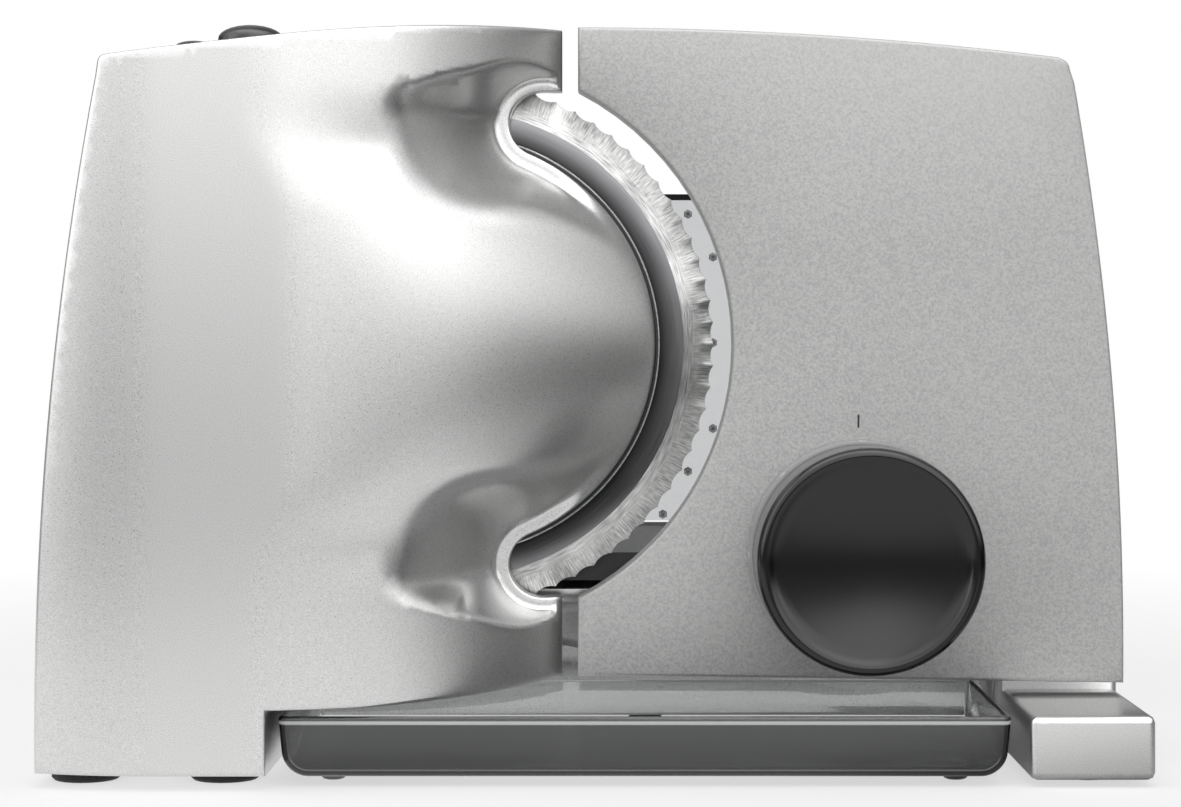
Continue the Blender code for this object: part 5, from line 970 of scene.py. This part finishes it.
# %% Slice tray
TRAY_LOW, TRAY_HIGH = (-0.0951, -0.1065, 0.0026), (0.1250, -0.0175, 0.0210)
TRAY_WALL, TRAY_DRAFT, FOOT_IN_X, FOOT_IN_Y = 0.002, 0.0015, 0.0155, 0.014
tray_middle, tray_size = middle_and_size(TRAY_LOW, TRAY_HIGH)
tray = begin_box("slice_tub", TRAY_LOW, TRAY_HIGH)
choose("faces", lambda face: face.normal.z > 0.9)
bpy.ops.mesh.delete(type="ONLY_FACE")
choose("verts", lambda corner: corner.co.z < tray_middle[2])
bpy.ops.transform.resize(
    value=(1 - 2 * TRAY_DRAFT / tray_size[0], 1 - 2 * TRAY_DRAFT / tray_size[1], 1), center_override=tray_middle
)


def lower_side(edge):
    step = edge.verts[1].co - edge.verts[0].co
    return max(corner.co.z for corner in edge.verts) < 0.004 and abs(step.y) > 0.5 * step.length


def at_long_wall(edge):
    """Whether just one of an edge's two faces belongs to the front or the rear wall."""
    faces = edge.link_faces
    return len(faces) == 2 and (abs(faces[0].normal.y) > 0.9) != (abs(faces[1].normal.y) > 0.9)


choose("edges", lower_side)
bpy.ops.mesh.bevel(offset=0.0074, segments=8, profile=0.5)
choose("edges", at_long_wall)
bpy.ops.mesh.bevel(offset=0.0030, segments=5, profile=0.5)
face_outwards()
modify(tray, "SOLIDIFY", thickness=TRAY_WALL, offset=-1.0)
modify(tray, "BEVEL", width=0.0009, segments=3, limit_method="ANGLE", angle_limit=math.radians(60))
foot_profile = [
    (0.0, 0.0004), (0.0026, 0.0004), (0.0034, 0.0007), (0.0039, 0.0014), (0.0040, 0.0036), (0.0, 0.0036),
]
tray_feet = [turn("tray_foot", foot_profile, (x, y), steps=32, axis="Z")
             for x in (TRAY_LOW[0] + FOOT_IN_X, TRAY_HIGH[0] - FOOT_IN_X)
             for y in (TRAY_LOW[1] + FOOT_IN_Y, TRAY_HIGH[1] - FOOT_IN_Y)]
join(tray_feet, tray)
hand_over(tray, "tray", smoked_clear, "smoke_clear", "slice_tray", smooth=40)

# %% [markdown]
# The pusher is a clear plate whose upper edge band and gripping nubs are painted near-black: a painted shade
# for the long dark path of light through its edge and for the shadows of the nubs. Its shape is already right
# in the skeleton, so it only needs a finish, in which the height decides where the painted dark edge band is
# and the depth decides what is a nub.

# %% Pusher finish
PAINTED_SHADE_EDGE_Z, NUB_Y = 0.1868, 0.0978
pusher_finish, tree, place = start_finish("light smoke styrene with dark nubs")
_, backwards, upwards = split(tree, place)
scuffs = noise(tree, place, SCUFF_SCALE, 2.0)
# Painted shade: the band above the edge height and the nubs take a near-black tint.
painted_shade_part = calc(tree, "MAXIMUM", calc(tree, "GREATER_THAN", upwards, PAINTED_SHADE_EDGE_Z),
                 calc(tree, "LESS_THAN", backwards, NUB_Y))
tint = blend(tree, painted_shade_part, colour("#dcddde"), colour("#1c1c1e"))
end_finish(tree, tint, spread(tree, scuffs, 0, 1, 0.05, 0.16), scuffs, 0.000004, IOR=CLEAR_IOR,
           **{"Transmission Weight": 0.9})
print("pusher finish ready")

# %% [markdown]
# The base casting keeps the skeleton's shape, with one more thing: under the stop plate its front wall stands
# back in a gap. The gap is cut with Boolean, and the cutter is thrown away. The faces that line the gap get the
# black rubber finish: a painted shade in the recess. Weighted normals keep the flat faces flat, so that no
# shading creeps over them from the rounds.

# %% Base casting
GAP_LOW, GAP_HIGH = (0.1345, -0.0520, 0.0216), (0.1652, -0.0440, 0.0260)
base = copy_of("base_with_gap", nodes["base_casting"])
cutter = begin_box("gap_cutter", GAP_LOW, GAP_HIGH)
close()
modify(base, "BOOLEAN", object=cutter, operation="DIFFERENCE", solver="EXACT")
bpy.data.objects.remove(cutter)
hand_over(base, "base", silver_lacquer, "silver_paint", "base_casting", smooth=40)
modify(base, "WEIGHTED_NORMAL", keep_sharp=True)
# Painted shade: the faces inside the gap take the black rubber finish.
base.data.materials.append(matt_rubber)
for face in base.data.polygons:
    painted_shade_in_gap = all(low - 1e-4 < value < high + 1e-4 for low, value, high in zip(GAP_LOW, face.center, GAP_HIGH))
    face.material_index = 1 if painted_shade_in_gap else 0
print(sum(face.material_index for face in base.data.polygons), "faces line the gap")

# %% [markdown]
# Everything that keeps its own mesh gets its finish here, one line to a finish. A node's mesh is left as it
# is.

# %% Finishes of the carried nodes
SCREWS = "cover_screw_1 cover_screw_2 base_screw_1 base_screw_2 frame_screw_1 frame_screw_2 frame_screw_3"
FEET = "housing_foot_1 housing_foot_2 rear_foot_1 rear_foot_2 block_foot bridge_foot"
dressing = {
    silver_lacquer: "rear_cover",
    cast_zinc: "gear_frame",
    turned_steel: "motor_can blade_axle slide_rail cam_post motor_shaft pinion_shaft guide_rod_left "
                  "guide_rod_right knob_axle power_spring lock_spring " + SCREWS,
    facing_steel: "stop_plate_facing",
    sintered_bronze: "worm_bearing pinion_bush blade_hub",
    bright_copper: "commutator",
    black_ferrite: "magnet_left magnet_right armature",
    natural_nylon: "guide_bush_left guide_bush_right blade_gear worm_wheel knob_cam carriage_runner",
    dark_plastic: "motor_end_cap switch_body cooling_fan food_carriage pusher_bracket",
    satin_black: "blade_lock",
    pusher_finish: "pusher_plate",
    matt_rubber: "cord_gland " + FEET,
}
dressed = set()
for finish, names in dressing.items():
    for name in names.split():
        nodes[name].data.materials.clear()
        nodes[name].data.materials.append(finish)
        dressed.add(name)
print(len(dressed), "nodes dressed, not dressed:", sorted(set(nodes) - dressed))

# %% [markdown]
# A product portrait stands on white: the floor is pale, shows a soft shadow close to the object and fades to
# plain white further out. Where the camera, a reflection or clear plastic looks at the floor, most of what it
# sees is an even white, and the rest is the lit floor with its shadow. Metal sees that white unevenly: bright
# in front, dim to the right and far away, and lighter again behind the machine.

# %% Floor
def bearing(tree, vector):
    """How far a direction is turned from -Y towards +X, in radians."""
    x, y, _ = split(tree, vector)
    return calc(tree, "ARCTAN2", x, product(tree, y, -1.0))


def ramp(tree, value, start, end, low, high):
    """A smooth change from low to high while the value goes from start to end."""
    return spread(tree, value, start, end, low, high, kind="SMOOTHSTEP")


def sweep(tree, angle, start, end, low, high):
    """The same for an angle, with its start and end in degrees."""
    return ramp(tree, angle, math.radians(start), math.radians(end), low, high)


floor = begin("circle", "floor", vertices=64, radius=6.0, fill_type="NGON", location=(0, 0, -0.0002))
close()
floor_finish, tree, place = start_finish("pale studio floor")
reach = add_node(tree, "VectorMath", {0: place}, operation="LENGTH").outputs["Value"]
rays = add_node(tree, "LightPath").outputs
in_front = sweep(tree, bearing(tree, place), 25, 60, 1.35, 0.18)
in_front = product(tree, in_front, ramp(tree, reach, 0.50, 0.80, 1.0, 0.06))
behind = ramp(tree, split(tree, place)["Y"], 0.14, 0.40, 0.0, 0.50)
reflected = calc(tree, "ADD", in_front, behind)
seen = calc(tree, "MAXIMUM", rays["Is Camera Ray"], rays["Is Glossy Ray"])
seen = calc(tree, "MAXIMUM", seen, rays["Is Transmission Ray"])
white_share = product(tree, seen, spread(tree, reach, 0.30, 0.75, 0.62, 1.0))
in_metal = calc(tree, "SUBTRACT", rays["Is Glossy Ray"], rays["Is Transmission Ray"], clamp=True)
lit = add_node(tree, "BsdfDiffuse", {"Color": colour("#f2f2f2")}).outputs[0]
white = add_node(tree, "Emission", {
    "Color": (1, 1, 1, 1), "Strength": between(tree, in_metal, 1.0, reflected),
}).outputs[0]
mixed = add_node(tree, "MixShader", {0: white_share, 1: lit, 2: white})
add_node(tree, "OutputMaterial", {"Surface": mixed.outputs[0]})
floor.data.materials.append(floor_finish)
print("floor laid")

# %% [markdown]
# Metal is drawn by what it reflects. The world is plain white where the camera looks straight at it. For
# everything else it is a grey room: pale walls that darken far to the right, a bright card in front of them
# from the middle to the right, a bright ceiling, a dark strip along the horizon and low on the right, and a
# dim wall behind the machine. Three large soft lamps light what isn't a mirror.

# %% Light
world = bpy.data.worlds.new("soft studio")
bpy.context.scene.world = world
world.use_nodes = True
tree = world.node_tree
tree.nodes.clear()
direction = add_node(tree, "TexCoord").outputs["Generated"]
rays = add_node(tree, "LightPath").outputs
turned = bearing(tree, direction)
_, depth_way, height = split(tree, direction)
card = product(tree, sweep(tree, turned, -6, 2, 0.0, 0.90), sweep(tree, turned, 50, 80, 1.0, 0.0))
walls = product(tree, sweep(tree, turned, 35, 60, 1.75, 1.15), sweep(tree, turned, 78, 92, 1.0, 0.40))
room = calc(tree, "ADD", card, walls)
low_right = product(tree, sweep(tree, turned, 4, 14, 0.0, 1.0), ramp(tree, height, 0.02, 0.15, 0.65, 0.0))
above_horizon = ramp(tree, height, 0.0, 0.10, 0.05, 1.0)
room = product(tree, room, above_horizon, calc(tree, "SUBTRACT", 1.0, low_right))
room = calc(tree, "ADD", room, ramp(tree, height, 0.35, 0.80, 0.0, 1.1))
room = product(tree, room, ramp(tree, depth_way, 0.02, 0.35, 1.0, 0.12))
rear_wall = ramp(tree, depth_way, 0.05, 0.40, 0.0, 0.35)
rear_wall = product(tree, rear_wall, ramp(tree, height, 0.20, 0.45, 0.0, 1.0))
room = calc(tree, "ADD", room, rear_wall)
ambient, glossy, backdrop = (
    add_node(tree, "Background", {"Color": (1, 1, 1, 1), "Strength": strength}).outputs[0]
    for strength in (0.55, room, 1.0)
)
seen = calc(tree, "MAXIMUM", rays["Is Camera Ray"], rays["Is Transmission Ray"])
mixed = add_node(tree, "MixShader", {0: rays["Is Glossy Ray"], 1: ambient, 2: glossy})
mixed = add_node(tree, "MixShader", {0: seen, 1: mixed.outputs[0], 2: backdrop})
add_node(tree, "OutputWorld", {"Surface": mixed.outputs[0]})


def soft_lamp(name, place, target_z, width, height, power):
    data = bpy.data.lights.new(name, "AREA")
    data.shape, data.size, data.size_y, data.energy = "RECTANGLE", width, height, power
    lamp = bpy.data.objects.new(name, data)
    lamp.location = place
    lamp.rotation_euler = (Vector((0, 0, target_z)) - Vector(place)).to_track_quat("-Z", "Y").to_euler()
    bpy.context.scene.collection.objects.link(lamp)


soft_lamp("key lamp", (0.35, -1.25, 0.55), 0.12, 1.8, 1.4, 2.0)
soft_lamp("fill lamp", (-1.3, -0.9, 0.6), 0.12, 0.9, 1.2, 5.0)
soft_lamp("top lamp", (0.0, -0.3, 1.5), 0.1, 1.6, 1.0, 7.0)
bpy.context.scene.view_settings.view_transform = "Standard"
print("light set")
